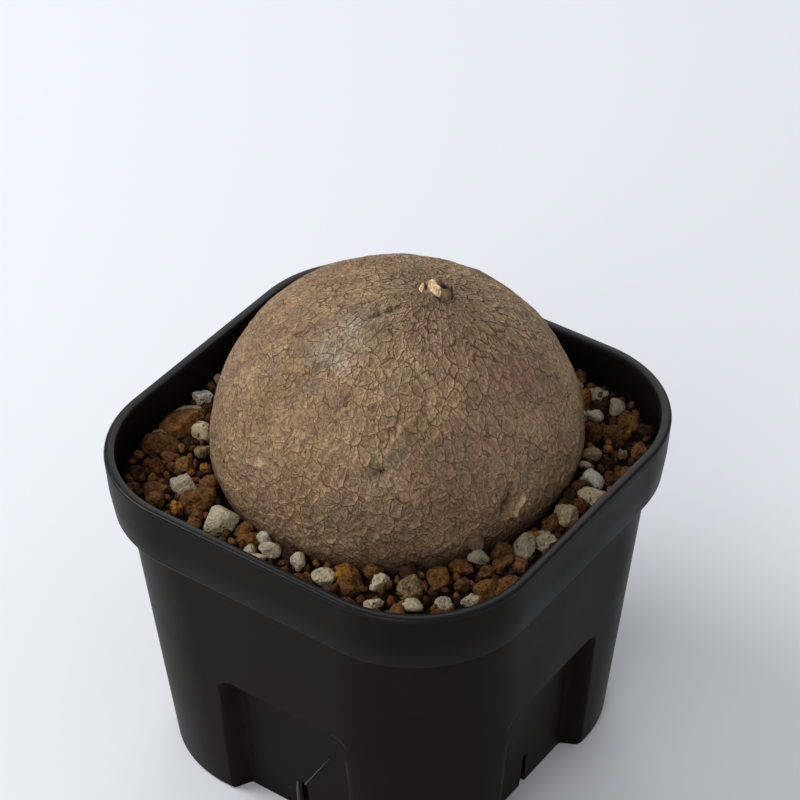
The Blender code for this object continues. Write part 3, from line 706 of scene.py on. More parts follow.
def barkMaterial():
    made, tree, shader = newMaterial("crackedBark", 0.78)
    space = attributeOf(tree, "barkSpace", "Vector")
    wavy = netSpace(tree, space)
    perPlate = 0.001 / caudex["plateSize"]
    edge = voronoiOf(tree, wavy, perPlate, "DISTANCE_TO_EDGE", "Distance")
    plateTone = voronoiOf(tree, wavy, perPlate, "F1", "Color")
    smallEdge = voronoiOf(tree, warped(tree, space, 1.1, 0.9), 1.0 / 1.25, "DISTANCE_TO_EDGE", "Distance")
    tinyEdge = voronoiOf(tree, warped(tree, space, 2.5, 0.4), 1.0 / 0.62, "DISTANCE_TO_EDGE", "Distance")
    cloud = noiseOf(tree, space, 0.085, 4.0)
    fine = noiseOf(tree, space, 2.6, 5.0, 0.7)
    speck = noiseOf(tree, space, 1.3, 4.0, 0.65)
    worm = ridgesOf(tree, warped(tree, space, 0.5, 1.2), 0.62)
    crownward = attributeOf(tree, "crownward")
    opened = openness(tree, space, crownward)

    ridge = ranged(tree, edge, 0.04, 0.24, 1.0, 0.0)
    width = mathOf(tree, "MULTIPLY", opened, ranged(tree, crownward, 0.0, 1.0, 0.052, 0.110))
    crack = mathOf(tree, "SUBTRACT", 1.0, mathOf(tree, "DIVIDE", edge, mathOf(tree, "ADD", width, 0.012), True), True)
    beside = mathOf(tree, "MULTIPLY", ranged(tree, edge, 0.14, 0.24, 0.0, 1.0), ranged(tree, edge, 0.24, 0.36, 1.0, 0.0))
    smallWidth = ranged(tree, noiseOf(tree, space, 0.42, 3.0), 0.40, 0.66, 0.0, 0.075)
    smallCrack = mathOf(tree, "SUBTRACT", 1.0, mathOf(tree, "DIVIDE", smallEdge, smallWidth, True), True)
    pebble = ranged(tree, smallEdge, 0.0, 0.34, 0.0, 1.0)
    grain = ranged(tree, tinyEdge, 0.0, 0.30, 0.0, 1.0)

    colour = mixColour(tree, ranged(tree, cloud, 0.36, 0.66, 0.0, 1.0), bark["tan"], bark["brown"])
    colour = mixColour(tree, ranged(tree, speck, 0.40, 0.75, 0.0, 0.35), colour, bark["grey"])
    dull = ranged(tree, noiseOf(tree, space, 0.17, 4.0, 0.6), 0.50, 0.66, 0.0, 0.42)
    ruddy = addNode(tree, "ShaderNodeSeparateColor", {0: addNode(tree, "ShaderNodeTexNoise", {
        "Vector": space, "Scale": 0.15, "Detail": 4.0, "Roughness": 0.6,
    }).outputs["Color"]}).outputs[2]
    colour = mixColour(tree, dull, colour, bark["dull"])
    colour = mixColour(tree, ranged(tree, ruddy, 0.52, 0.66, 0.0, 0.50), colour, bark["mauve"])
    for name, tint, strength in (("reddened", "mauve", 0.75), ("ashen", "ashen", 0.62), ("greyed", "smudge", 0.6)):
        share = mathOf(tree, "MULTIPLY", attributeOf(tree, name), ranged(tree, fine, 0.30, 0.55, 0.4 * strength, strength))
        colour = mixColour(tree, share, colour, bark[tint])
    tone = addNode(tree, "ShaderNodeSeparateColor", {0: plateTone}).outputs[0]
    shade = ranged(tree, tone, 0.0, 1.0, 0.88, 1.08, False)
    # The raised plate borders are painted lighter, partly worn paler and partly painted highlight, with a painted shade
    # line beside them
    for value, low, high in ((pebble, 0.90, 1.05), (grain, 0.88, 1.04), (ridge, 0.96, 1.12), (beside, 1.03, 0.88)):
        shade = mathOf(tree, "MULTIPLY", shade, ranged(tree, value, 0.0, 1.0, low, high, False))
    shade = mathOf(tree, "MULTIPLY", shade, ranged(tree, fine, 0.3, 0.7, 0.82, 1.18, False))
    shade = mathOf(tree, "MULTIPLY", shade, ranged(tree, worm, 0.15, 0.85, 0.93, 1.06, False))
    grey = addNode(tree, "ShaderNodeCombineColor", {0: shade, 1: shade, 2: shade}).outputs[0]
    colour = mixColour(tree, 1.0, colour, grey, "MULTIPLY")
    colour = mixColour(tree, mathOf(tree, "MULTIPLY", smallCrack, 0.36), colour, bark["crack"])
    depth = mathOf(tree, "MULTIPLY", ranged(tree, opened, 0.0, 1.0, 0.34, 0.72), ranged(tree, crownward, 0.0, 1.0, 1.0, 1.6))
    colour = mixColour(tree, mathOf(tree, "MULTIPLY", crack, depth, True), colour, bark["crack"])
    # Painted contact shade just above the gravel line
    colour = mixColour(tree, mathOf(tree, "MULTIPLY", attributeOf(tree, "gritLineShade"), 0.75), colour, bark["gritLineShadeColour"])
    colour = mixColour(tree, mathOf(tree, "MULTIPLY", attributeOf(tree, "veined"), 0.50), colour, bark["tan"])
    colour = mixColour(tree, attributeOf(tree, "paled"), colour, bark["pale"])
    # Painted shade in the dents and sunk creases
    dentShade = mathOf(tree, "MULTIPLY", attributeOf(tree, "dentShade"), ranged(tree, fine, 0.36, 0.58, 0.45, 1.0), True)
    colour = mixColour(tree, dentShade, colour, bark["dentShadeColour"])
    tree.links.new(colour, shader.inputs["Base Color"])
    shader.inputs["Specular IOR Level"].default_value = 0.26

    height = mathOf(tree, "MULTIPLY", ridge, 0.62)
    for value, rise in ((crack, -0.85), (smallCrack, -0.35), (pebble, 0.26), (grain, 0.14), (fine, 0.42), (worm, 0.50)):
        height = mathOf(tree, "ADD", height, mathOf(tree, "MULTIPLY", value, rise))
    bump = addNode(tree, "ShaderNodeBump", {"Height": height, "Strength": 1.0, "Distance": 0.00030})
    tree.links.new(bump.outputs[0], shader.inputs["Normal"])
    return made


def makeCaudex(material):
    directions, faces = globeDirections()
    lift = np.full(len(directions), caudex["skin"])
    veined = np.zeros(len(directions))
    for turn, tilt, spread, height in marks:
        lift += height * hump(directions, turn, tilt, spread)
    for start, end, width, height in veins:
        a, b = np.array(towards(*start)), np.array(towards(*end))
        along = np.clip(((directions - a) @ (b - a)) / ((b - a) @ (b - a)), 0.0, 1.0)
        sway = np.array(towards(*start).cross(towards(*end)).normalized()) * 0.006
        line = a + along[:, None] * (b - a) + np.sin(along * 7.0)[:, None] * sway
        apart = np.linalg.norm(directions - line, axis=1) * caudex["radius"] / width
        lift += height * np.exp(-apart * apart)
        veined += (height > 0.0) * np.exp(-apart * apart)
    points = caudexPoints(directions, lift)
    made = meshObject("plainGlobe", points, faces)
    mesh = made.data
    setAttribute(mesh, "barkSpace", "FLOAT_VECTOR", barkSpaceOf(caudexPoints(directions, np.zeros(len(directions)))))
    setAttribute(mesh, "clear", "FLOAT", np.clip((directions[:, 2] + 0.16) / 0.08, 0.0, 1.0))
    setAttribute(mesh, "veined", "FLOAT", np.clip(veined, 0.0, 1.0))
    for name in ("dentShade", "greyed", "reddened", "ashen", "paled"):
        total = np.zeros(len(directions))
        for kind, turn, tilt, spread, strength in patches:
            if kind == name:
                total += strength * hump(directions, turn, tilt, spread)
        setAttribute(mesh, name, "FLOAT", np.clip(total, 0.0, 1.0))
    crown = np.array(caudexPoint(towards(*caudex["crown"])))
    setAttribute(mesh, "crownward", "FLOAT", np.exp(-np.linalg.norm(points - crown, axis=1) / 0.022))
    # Painted contact shade: the skin darkens just above the gravel line
    aboveGrit = (points[:, 2] - 0.0772) / 0.0042
    setAttribute(mesh, "gritLineShade", "FLOAT", np.clip(1.0 - aboveGrit, 0.0, 1.0) ** 1.5)
    return runTree(made, reliefTree(), {
        "Plate Size": caudex["plateSize"] * 1000.0, "Ridge Height": caudex["ridgeHeight"],
        "Crack Depth": caudex["crackDepth"], "Wrinkle": caudex["wrinkle"], "Swell": caudex["swell"],
        "Material": material,
    }, "barkGlobe")


def ringTube(name, rings):
    count = len(rings[0])
    points = [p for ring in rings for p in ring]
    faces = [tuple(reversed(range(count)))]
    for level in range(len(rings) - 1):
        low = level * count
        for i in range(count):
            j = (i + 1) % count
            faces.append((low + i, low + j, low + count + j, low + count + i))
    faces.append(tuple(range(len(points) - count, len(points))))
    return meshObject(name, points, faces)


def makeRoots(material):
    bm = bmesh.new()
    for root in range(caudex["rootCount"]):
        angle = math.radians(360.0 / caudex["rootCount"] * root + 20.0)
        outward = Vector((math.cos(angle), math.sin(angle), 0.0))
        start = middle + outward * caudex["radius"] * 0.45 - Vector((0.0, 0.0, caudex["keel"] * 0.70))
        rings = []
        for step in range(9):
            along = step / 8
            length = caudex["rootLength"]
            centre = start + outward * length * 0.5 * along * along - Vector((0.0, 0.0, length * along))
            radius = caudex["rootRadius"] * (1.0 - 0.75 * along)
            rings.append([
                bm.verts.new(centre + Vector((math.cos(a), math.sin(a), 0.0)) * radius)
                for a in [2.0 * math.pi * i / 14 for i in range(14)]
            ])
        for low, high in zip(rings, rings[1:]):
            for i in range(14):
                j = (i + 1) % 14
                bm.faces.new((high[i], high[j], low[j], low[i]))
        bm.faces.new(rings[0])
        bm.faces.new(list(reversed(rings[-1])))
    bmesh.ops.recalc_face_normals(bm, faces=bm.faces)
    mesh = bpy.data.meshes.new("roots")
    bm.to_mesh(mesh)
    bm.free()
    mesh.shade_smooth()
    made = bpy.data.objects.new("roots", mesh)
    scene.collection.objects.link(made)
    setOwnMaterial(made, material)
    return made


def woodMaterial(name, light, dark, roughness):
    made, tree, shader = newMaterial(name, roughness)
    space = addNode(tree, "ShaderNodeTexCoord").outputs["Object"]
    stretched = addNode(tree, "ShaderNodeMapping", {0: space, 3: (900.0, 900.0, 260.0)}).outputs[0]
    fibre = noiseOf(tree, stretched, 1.0, 4.0, 0.65)
    blot = noiseOf(tree, space, 420.0, 3.0)
    factor = mathOf(tree, "ADD", ranged(tree, fibre, 0.42, 0.62, 0.0, 0.7), ranged(tree, blot, 0.5, 0.68, 0.0, 0.5), True)
    tree.links.new(mixColour(tree, factor, light, dark), shader.inputs["Base Color"])
    bump = addNode(tree, "ShaderNodeBump", {"Height": fibre, "Strength": 0.8, "Distance": 0.0003})
    tree.links.new(bump.outputs[0], shader.inputs["Normal"])
    return made


rootSkin = woodMaterial("rootSkin", (0.150, 0.085, 0.048, 1.0), (0.060, 0.032, 0.020, 1.0), 0.85)
barkGlobe = makeCaudex(barkMaterial())
roots = makeRoots(rootSkin)
for piece in (barkGlobe, roots):
    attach(piece, "root")
    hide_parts("caudex")
print("caudex made:", len(barkGlobe.data.polygons), "faces")


# Side bud: a blunt dry nub at the gravel's edge
def makeBud():
    outward = towards(caudex["budTurn"], caudex["budTilt"] - 25.0)
    foot = caudexPoint(towards(caudex["budTurn"], caudex["budTilt"]), -0.0012)
    side = outward.orthogonal().normalized()
    other = outward.cross(side)
    profile = [
        (0.0, 1.05), (0.20, 1.0), (0.45, 1.02), (0.68, 0.98), (0.82, 0.90), (0.92, 0.74), (0.97, 0.55),
        (0.93, 0.42), (0.95, 0.25), (0.96, 0.08),
    ]
    draw = random.Random(5)
    lumps = [draw.uniform(0.93, 1.07) for _ in range(20)]
    rings = []
    for along, share in profile:
        centre = foot + outward * 0.0036 * along
        ring = []
        for i in range(20):
            turn = 2.0 * math.pi * i / 20
            radius = 0.0019 * share * lumps[i] * (1.0 + 0.05 * math.sin(3.0 * turn + along * 4.0))
            ring.append(centre + (side * math.cos(turn) + other * math.sin(turn)) * radius)
        rings.append(ring)
    return ringTube("sideBud", rings)


sideBud = makeBud()
setOwnMaterial(sideBud, woodMaterial("budSkin", (0.165, 0.098, 0.064, 1.0), (0.050, 0.026, 0.016, 1.0), 0.85))
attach(sideBud, "root")
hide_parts("caudex")
print("side bud made")


# Stub of the dead vine at the crown: a low broken end of pale wood, with a dark hollow on its right
stub = {
    "halfLength": 0.0037,
    "halfWidth": 0.0029,
    "height": 0.0019,
    "socket": 0.0016,
    "ragged": 0.00030,
    # Lumps and hollows in millimetres: across and away from the middle, their spreads, height
    "forms": [
        (-2.9, 0.2, 0.75, 0.90, 0.7), (-1.85, -0.4, 0.30, 1.10, -0.9), (-0.6, 0.4, 0.90, 0.90, 0.7),
        (0.1, -1.1, 0.90, 0.90, 0.4), (2.0, 0.7, 0.95, 1.15, -2.4), (1.0, 2.1, 1.50, 0.40, 0.9),
        (3.3, 1.1, 0.35, 1.00, 1.0), (2.2, -1.4, 1.10, 0.50, 0.3),
    ],
    "creamy": [(-3.1, -0.1, 0.70, 1.00), (-0.7, 0.1, 0.85, 1.30), (0.0, -1.3, 1.00, 1.00), (0.5, -2.0, 0.60, 0.60)],
    # Dark spots: partly the dark flake of rind on the right, partly painted shade in the hollows and below the stub
    "darkFlakeAndShade": [
        (-1.85, -0.3, 0.22, 0.70), (2.1, 0.5, 1.20, 1.45), (3.6, -0.9, 0.24, 1.60), (1.4, -2.80, 2.00, 0.20),
    ],
}


def makeStub():
    foot = caudexPoint(towards(*caudex["crown"]), 0.0013)
    across = Vector((right.x, right.y, 0.0)).normalized()
    away = Vector((-across.y, across.x, 0.0))
    shares = [1.0 - (i / 40) ** 0.85 for i in range(40)]
    around = 80

    def spread(u, v, spot):
        return math.exp(-((u - spot[0]) / spot[2]) ** 2 - ((v - spot[1]) / spot[3]) ** 2)

    rings, creamy, darkFlakeAndShade = [], [], []
    for number, share in enumerate([1.0, 1.02] + shares):
        ring = []
        for i in range(around):
            turn = 2.0 * math.pi * i / around
            ripple = 1.0 + 0.06 * math.sin(3.0 * turn + 1.0) + 0.04 * math.sin(7.0 * turn)
            u = stub["halfLength"] * share * ripple * math.cos(turn)
            v = stub["halfWidth"] * share * ripple * math.sin(turn)
            inside = 1.0 - share ** 4 if number > 1 else 0.0
            rise = stub["height"] * inside + sum(f[4] * spread(u * 1000.0, v * 1000.0, f) for f in stub["forms"]) * inside / 1000.0
            torn = noise.fractal(Vector((u * 1100.0, v * 1500.0, 0.3)), 0.8, 2.0, 4)
            rise = max(rise + torn * stub["ragged"] * inside, -0.0006)
            if number < 2:
                rise = (-stub["socket"], -0.0003)[number]
            ring.append(foot + across * u + away * v + Vector((0.0, 0.0, rise)))
            creamy.append(min(sum(spread(u * 1000.0, v * 1000.0, f) for f in stub["creamy"]), 1.0) * (number > 1))
            darkFlakeAndShade.append(min(sum(spread(u * 1000.0, v * 1000.0, f) for f in stub["darkFlakeAndShade"]), 1.0))
        rings.append(ring)
    made = ringTube("vineStub", rings)
    setAttribute(made.data, "creamy", "FLOAT", creamy)
    setAttribute(made.data, "darkFlakeAndShade", "FLOAT", darkFlakeAndShade)
    return made


def stubMaterial():
    made, tree, shader = newMaterial("dryWood", 0.8)
    space = addNode(tree, "ShaderNodeTexCoord").outputs["Object"]
    stretched = addNode(tree, "ShaderNodeMapping", {0: space, 3: (1500.0, 700.0, 600.0)}).outputs[0]
    fibre = noiseOf(tree, stretched, 1.0, 4.0, 0.65)
    blot = noiseOf(tree, space, 900.0, 3.0)
    cream = mixColour(tree, ranged(tree, fibre, 0.42, 0.58, 0.0, 0.85), (0.900, 0.680, 0.400, 1.0), (0.400, 0.235, 0.115, 1.0))
    rind = mixColour(tree, ranged(tree, blot, 0.40, 0.60, 0.0, 1.0), (0.260, 0.165, 0.092, 1.0), (0.120, 0.070, 0.040, 1.0))
    colour = mixColour(tree, ranged(tree, attributeOf(tree, "creamy"), 0.30, 0.52, 0.0, 1.0), rind, cream)
    # Dark where the rind flake is, painted shade in the hollows and below the stub, and in random blots
    dark = mathOf(tree, "ADD", attributeOf(tree, "darkFlakeAndShade"), mathOf(tree, "MULTIPLY", mathOf(tree, "SUBTRACT", blot, 0.5), 0.5))
    colour = mixColour(tree, ranged(tree, dark, 0.38, 0.62, 0.0, 1.0), colour, (0.026, 0.013, 0.009, 1.0))
    tree.links.new(colour, shader.inputs["Base Color"])
    bump = addNode(tree, "ShaderNodeBump", {"Height": fibre, "Strength": 0.8, "Distance": 0.0003})
    tree.links.new(bump.outputs[0], shader.inputs["Normal"])
    return made


vineStub = makeStub()
setOwnMaterial(vineStub, stubMaterial())
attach(vineStub, "root")
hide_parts("dry_stem_stub")
print("stub made")


# Gravel: the stones of the solid's seeded rule, and small grains between them
gravel = {
    "gap": 0.0003,
    "dropAtWall": 0.0078,
    "dropAtCaudex": 0.0068,
    "lipDraft": 0.0001,
    "skirt": 0.0026,
    "moundWidth": 0.0140,
    "sizes": (0.0072, 0.0058, 0.0047, 0.0037),
    "tries": (90, 320, 700, 900),
    "spread": 0.80,
    "seed": 21,
    "crevice": 0.0006,
    "fillSpacing": 0.0024,
}
# Stones given one by one: x, y and length in millimetres, kind
placedStones = [
    (-49.3, 0.5, 4.5, "pale"), (-48.4, -7.9, 5.7, "white"), (-46.4, -12.8, 7.2, "pale"),
    (-45.3, -17.2, 10.0, "brown"), (-46.6, -23.2, 3.2, "tan"), (-44.4, -25.3, 8.6, "brown"),
    (-35.2, -21.9, 3.6, "tan"), (-41.4, -30.8, 5.4, "red"), (-43.0, -35.3, 4.3, "dark"),
    (-30.8, -26.6, 2.9, "orange"), (-35.8, -27.5, 5.0, "ochre"), (-36.6, -37.0, 6.3, "brown"),
    (-31.2, -33.7, 6.6, "pale"), (-28.1, -40.5, 3.4, "orange"), (-25.8, -35.2, 7.2, "brown"),
    (-17.2, -38.4, 7.5, "pale"), (-9.1, -39.2, 4.8, "brown"), (-2.9, -40.0, 4.8, "pale"),
    (4.6, -39.4, 4.5, "pale"), (11.4, -39.7, 5.0, "pale"), (17.0, -38.5, 6.3, "brown"),
    (21.8, -34.4, 4.1, "pale"), (27.8, -31.9, 6.8, "tan"), (24.9, -40.0, 4.1, "pale"),
    (31.8, -26.6, 5.9, "brown"), (34.2, -21.6, 5.0, "brown"), (36.9, -31.5, 4.1, "pale"),
    (40.3, -27.2, 4.1, "pale"), (38.6, -18.7, 4.1, "brown"), (39.8, -14.1, 4.1, "brown"),
    (43.1, -13.3, 4.1, "brown"), (41.1, -7.7, 6.3, "pale"), (42.4, -3.0, 5.9, "pale"),
    (42.6, 5.4, 5.9, "cream"), (44.3, 14.3, 8.1, "cream"), (40.2, 10.5, 3.2, "dark"),
    (40.2, 19.7, 6.1, "white"), (35.9, 26.1, 4.5, "tan"), (36.8, 21.3, 2.5, "pale"),
    (40.7, 25.6, 3.8, "dark"), (44.3, 21.9, 2.9, "red"), (41.3, 30.2, 2.7, "tan"),
    (38.5, 29.5, 2.3, "orange"), (43.7, 32.9, 4.3, "brown"), (35.6, 36.4, 5.9, "brown"),
    (36.4, 41.7, 6.8, "brown"), (29.6, 37.1, 3.8, "pale"), (31.2, 44.0, 4.1, "pale"),
    (24.4, 46.7, 7.2, "pale"), (19.5, 48.0, 4.1, "brown"),
]
# Where each kind lies on the draw from 0 to 1 that colours a stone
kindDraw = {
    "brown": 0.18, "dark": 0.50, "red": 0.60, "ochre": 0.67, "orange": 0.72, "tan": 0.77,
    "pale": 0.83, "cream": 0.89, "white": 0.95,
}
kindStops = [
    (0.00, (0.150, 0.066, 0.020, 1.0)), (0.28, (0.092, 0.040, 0.013, 1.0)), (0.44, (0.034, 0.017, 0.009, 1.0)),
    (0.56, (0.120, 0.040, 0.016, 1.0)), (0.64, (0.180, 0.088, 0.022, 1.0)), (0.70, (0.330, 0.140, 0.020, 1.0)),
    (0.74, (0.250, 0.172, 0.084, 1.0)), (0.80, (0.400, 0.338, 0.225, 1.0)), (0.86, (0.500, 0.395, 0.235, 1.0)),
    (0.92, (0.560, 0.515, 0.415, 1.0)),
]


def gritHeight(x, y):
    distance = math.hypot(x - middle.x, y - middle.y) - caudex["radius"]
    share = min(max(1.0 - distance / gravel["moundWidth"], 0.0), 1.0)
    share = share * share * (3.0 - 2.0 * share)
    return pot["height"] - gravel["dropAtWall"] + (gravel["dropAtWall"] - gravel["dropAtCaudex"]) * share


def bedEdge():
    # Half-width and corner radius of the gravel where it meets the collar's inner wall
    inset = pot["lip"] + gravel["gap"]
    return pot["side"] / 2 - gravel["lipDraft"] - inset, pot["corner"] - inset


def wallRoom(x, y):
    half, radius = bedEdge()
    across = abs(x) - (half - radius)
    along = abs(y) - (half - radius)
    outside = math.hypot(max(across, 0.0), max(along, 0.0))
    return radius - outside - min(max(across, along), 0.0)


def stoneSpots():
    spots = [(x / 1000, y / 1000, length / 1000, kind) for x, y, length, kind in placedStones]
    draw = random.Random(gravel["seed"])
    half = pot["side"] / 2
    for size, tries in zip(gravel["sizes"], gravel["tries"]):
        for _ in range(tries):
            x = draw.uniform(-half, half)
            y = draw.uniform(-half, half)
            fromCaudex = math.hypot(x - middle.x, y - middle.y) - caudex["radius"]
            if wallRoom(x, y) < size * 0.5 or fromCaudex < -0.0005:
                continue
            if any(math.hypot(x - a, y - b) < gravel["spread"] * (size + c) / 2 for a, b, c, _ in spots):
                continue
            spots.append((x, y, size, None))
    return spots


def rockShapes(count, subdivisions, name, seed, soft):
    # Blunt lumps cut by soft planes, kept in a collection that the trees pick from
    group = bpy.data.collections.new(name)
    draw = random.Random(seed)
    for number in range(count):
        bm = bmesh.new()
        bmesh.ops.create_icosphere(bm, subdivisions=subdivisions, radius=1.0)
        planes = []
        for _ in range(12):
            normal = Vector([draw.gauss(0.0, 1.0) for _ in range(3)]).normalized()
            planes.append((normal, draw.uniform(0.56, 0.90)))
        for vert in bm.verts:
            reach = 1.0
            for normal, away in planes:
                facing = vert.co.dot(normal)
                if facing > 0.05:
                    reach = softMin(reach, away / facing, soft)
            vert.co *= reach
        mesh = bpy.data.meshes.new(f"{name}{number}")
        bm.to_mesh(mesh)
        bm.free()
        group.objects.link(bpy.data.objects.new(f"{name}{number}", mesh))
    return group


def stoneTree(scatter):
    inputs = [
        ("Rock Shapes", "NodeSocketCollection", None), ("Rough Size", "NodeSocketFloat", 900.0),
        ("Rough Depth", "NodeSocketFloat", 0.0003), ("Material", "NodeSocketMaterial", None),
    ]
    if scatter:
        inputs += [("Spacing", "NodeSocketFloat", 0.002), ("Seed", "NodeSocketInt", 3)]
    tree, given, result = newTree("fillGrains" if scatter else "gravelStones", inputs)
    shapes = addNode(tree, "GeometryNodeCollectionInfo", {
        "Collection": given.outputs["Rock Shapes"], "Separate Children": True, "Reset Children": True,
    }).outputs[0]
    if scatter:
        points = addNode(tree, "GeometryNodeDistributePointsOnFaces", {
            "Mesh": given.outputs["Geometry"], "Distance Min": given.outputs["Spacing"],
            "Density Max": 900000.0, "Seed": given.outputs["Seed"],
        }, distribute_method="POISSON").outputs[0]

        def drawn(kind, low, high, seed, output):
            lowKey, highKey = {"FLOAT_VECTOR": (0, 1), "FLOAT": (2, 3), "INT": (4, 5)}[kind]
            sockets = {lowKey: low, highKey: high, "Seed": seed}
            return addNode(tree, "FunctionNodeRandomValue", sockets, data_type=kind).outputs[output]

        index = drawn("INT", 0, 9, 11, 2)
        turn = drawn("FLOAT_VECTOR", (0.0, 0.0, 0.0), (6.28, 6.28, 6.28), 12, 0)
        size = drawn("FLOAT_VECTOR", (0.00080, 0.00075, 0.00065), (0.00185, 0.00165, 0.00140), 13, 0)
        kind = drawn("FLOAT", 0.0, 0.68, 14, 1)
        for name, value in (("kind", kind), ("tone", drawn("FLOAT", 0.0, 1.0, 15, 1))):
            points = addNode(tree, "GeometryNodeStoreNamedAttribute", {
                "Geometry": points, "Name": name, "Value": value,
            }, data_type="FLOAT", domain="POINT").outputs[0]
    else:
        points = given.outputs["Geometry"]

        def stored(name, kind):
            return addNode(tree, "GeometryNodeInputNamedAttribute", {"Name": name}, data_type=kind).outputs[0]

        index = stored("shape", "INT")
        turn = stored("turn", "FLOAT_VECTOR")
        size = stored("size", "FLOAT_VECTOR")
    placed = addNode(tree, "GeometryNodeInstanceOnPoints", {
        "Points": points, "Instance": shapes, "Pick Instance": True, "Instance Index": index,
        "Rotation": addNode(tree, "FunctionNodeEulerToRotation", {0: turn}).outputs[0], "Scale": size,
    }).outputs[0]
    real = addNode(tree, "GeometryNodeRealizeInstances", {0: placed}).outputs[0]
    place = addNode(tree, "GeometryNodeInputPosition").outputs[0]
    bumpy = noiseOf(tree, place, given.outputs["Rough Size"], 2.0)
    kindOf = addNode(tree, "GeometryNodeInputNamedAttribute", {"Name": "kind"}, data_type="FLOAT").outputs[0]
    crumbs = noiseOf(tree, place, mathOf(tree, "MULTIPLY", given.outputs["Rough Size"], 2.6), 3.0)
    crumbly = ranged(tree, kindOf, 0.74, 0.80, 1.7, 0.7)
    depth = mathOf(tree, "MULTIPLY", given.outputs["Rough Depth"], crumbly)
    uneven = mathOf(tree, "ADD", bumpy, mathOf(tree, "MULTIPLY", crumbs, 0.5))
    height = mathOf(tree, "MULTIPLY", mathOf(tree, "SUBTRACT", uneven, 0.75), depth)
    normal = addNode(tree, "GeometryNodeInputNormal").outputs[0]
    offset = addNode(tree, "ShaderNodeVectorMath", {0: normal, "Scale": height}, operation="SCALE").outputs[0]
    rough = addNode(tree, "GeometryNodeSetPosition", {"Geometry": real, "Offset": offset}).outputs[0]
    smooth = addNode(tree, "GeometryNodeSetShadeSmooth", {"Geometry": rough}).outputs[0]
    dressed = addNode(tree, "GeometryNodeSetMaterial", {0: smooth, "Material": given.outputs["Material"]})
    tree.links.new(dressed.outputs[0], result.inputs[0])
    return tree


def stoneMaterial():
    made, tree, shader = newMaterial("mixedGravel", 0.9)
    space = addNode(tree, "ShaderNodeTexCoord").outputs["Object"]
    kind = attributeOf(tree, "kind")
    ramp = addNode(tree, "ShaderNodeValToRGB", {0: kind})
    ramp.color_ramp.interpolation = "CONSTANT"
    stops = ramp.color_ramp.elements
    for number, (place, colour) in enumerate(kindStops):
        stop = stops[number] if number < 2 else stops.new(place)
        stop.position = place
        stop.color = colour
    pale = ranged(tree, kind, 0.79, 0.81, 0.0, 1.0)
    mottle = noiseOf(tree, space, 700.0, 4.0, 0.65)
    cloud = noiseOf(tree, space, 260.0, 3.0)
    pores = voronoiOf(tree, warped(tree, space, 900.0, 0.0006), 1050.0, "F1", "Distance")
    poreMask = mathOf(tree, "MULTIPLY", ranged(tree, pores, 0.16, 0.34, 1.0, 0.0), ranged(tree, cloud, 0.40, 0.60, 0.0, 1.0))
    tone = ranged(tree, attributeOf(tree, "tone"), 0.0, 1.0, 0.74, 1.20, False)
    # Strong mottling on the brown stones: partly their own mottled colour, partly painted shade in their crumbly
    # crevices and painted highlight on their lumps
    crumbs = noiseOf(tree, space, 1500.0, 3.0, 0.6)
    contrast = ranged(tree, pale, 0.0, 1.0, 1.0, 0.45)
    mottleAndCreviceShade = mathOf(tree, "ADD", ranged(tree, mottle, 0.32, 0.68, -0.42, 0.36), ranged(tree, crumbs, 0.35, 0.65, -0.28, 0.26))
    shade = mathOf(tree, "MULTIPLY", tone, mathOf(tree, "ADD", 1.0, mathOf(tree, "MULTIPLY", mottleAndCreviceShade, contrast)))
    grey = addNode(tree, "ShaderNodeCombineColor", {0: shade, 1: shade, 2: shade}).outputs[0]
    colour = mixColour(tree, 1.0, ramp.outputs[0], grey, "MULTIPLY")
    rust = mathOf(tree, "MULTIPLY", ranged(tree, cloud, 0.55, 0.75, 0.0, 0.45), ranged(tree, pale, 0.0, 1.0, 1.0, 0.35))
    colour = mixColour(tree, rust, colour, (0.150, 0.062, 0.018, 1.0))
    dark = mathOf(tree, "MULTIPLY", poreMask, ranged(tree, pale, 0.0, 1.0, 0.45, 0.80, False))
    colour = mixColour(tree, dark, colour, (0.045, 0.026, 0.017, 1.0))
    tree.links.new(colour, shader.inputs["Base Color"])
    tree.links.new(ranged(tree, pale, 0.0, 1.0, 0.10, 0.20), shader.inputs["Specular IOR Level"])
    height = mathOf(tree, "ADD", mathOf(tree, "MULTIPLY", poreMask, -0.8), mathOf(tree, "MULTIPLY", mottleAndCreviceShade, 1.1))
    bump = addNode(tree, "ShaderNodeBump", {"Height": height, "Strength": 1.0, "Distance": 0.00030})
    tree.links.new(bump.outputs[0], shader.inputs["Normal"])
    return made


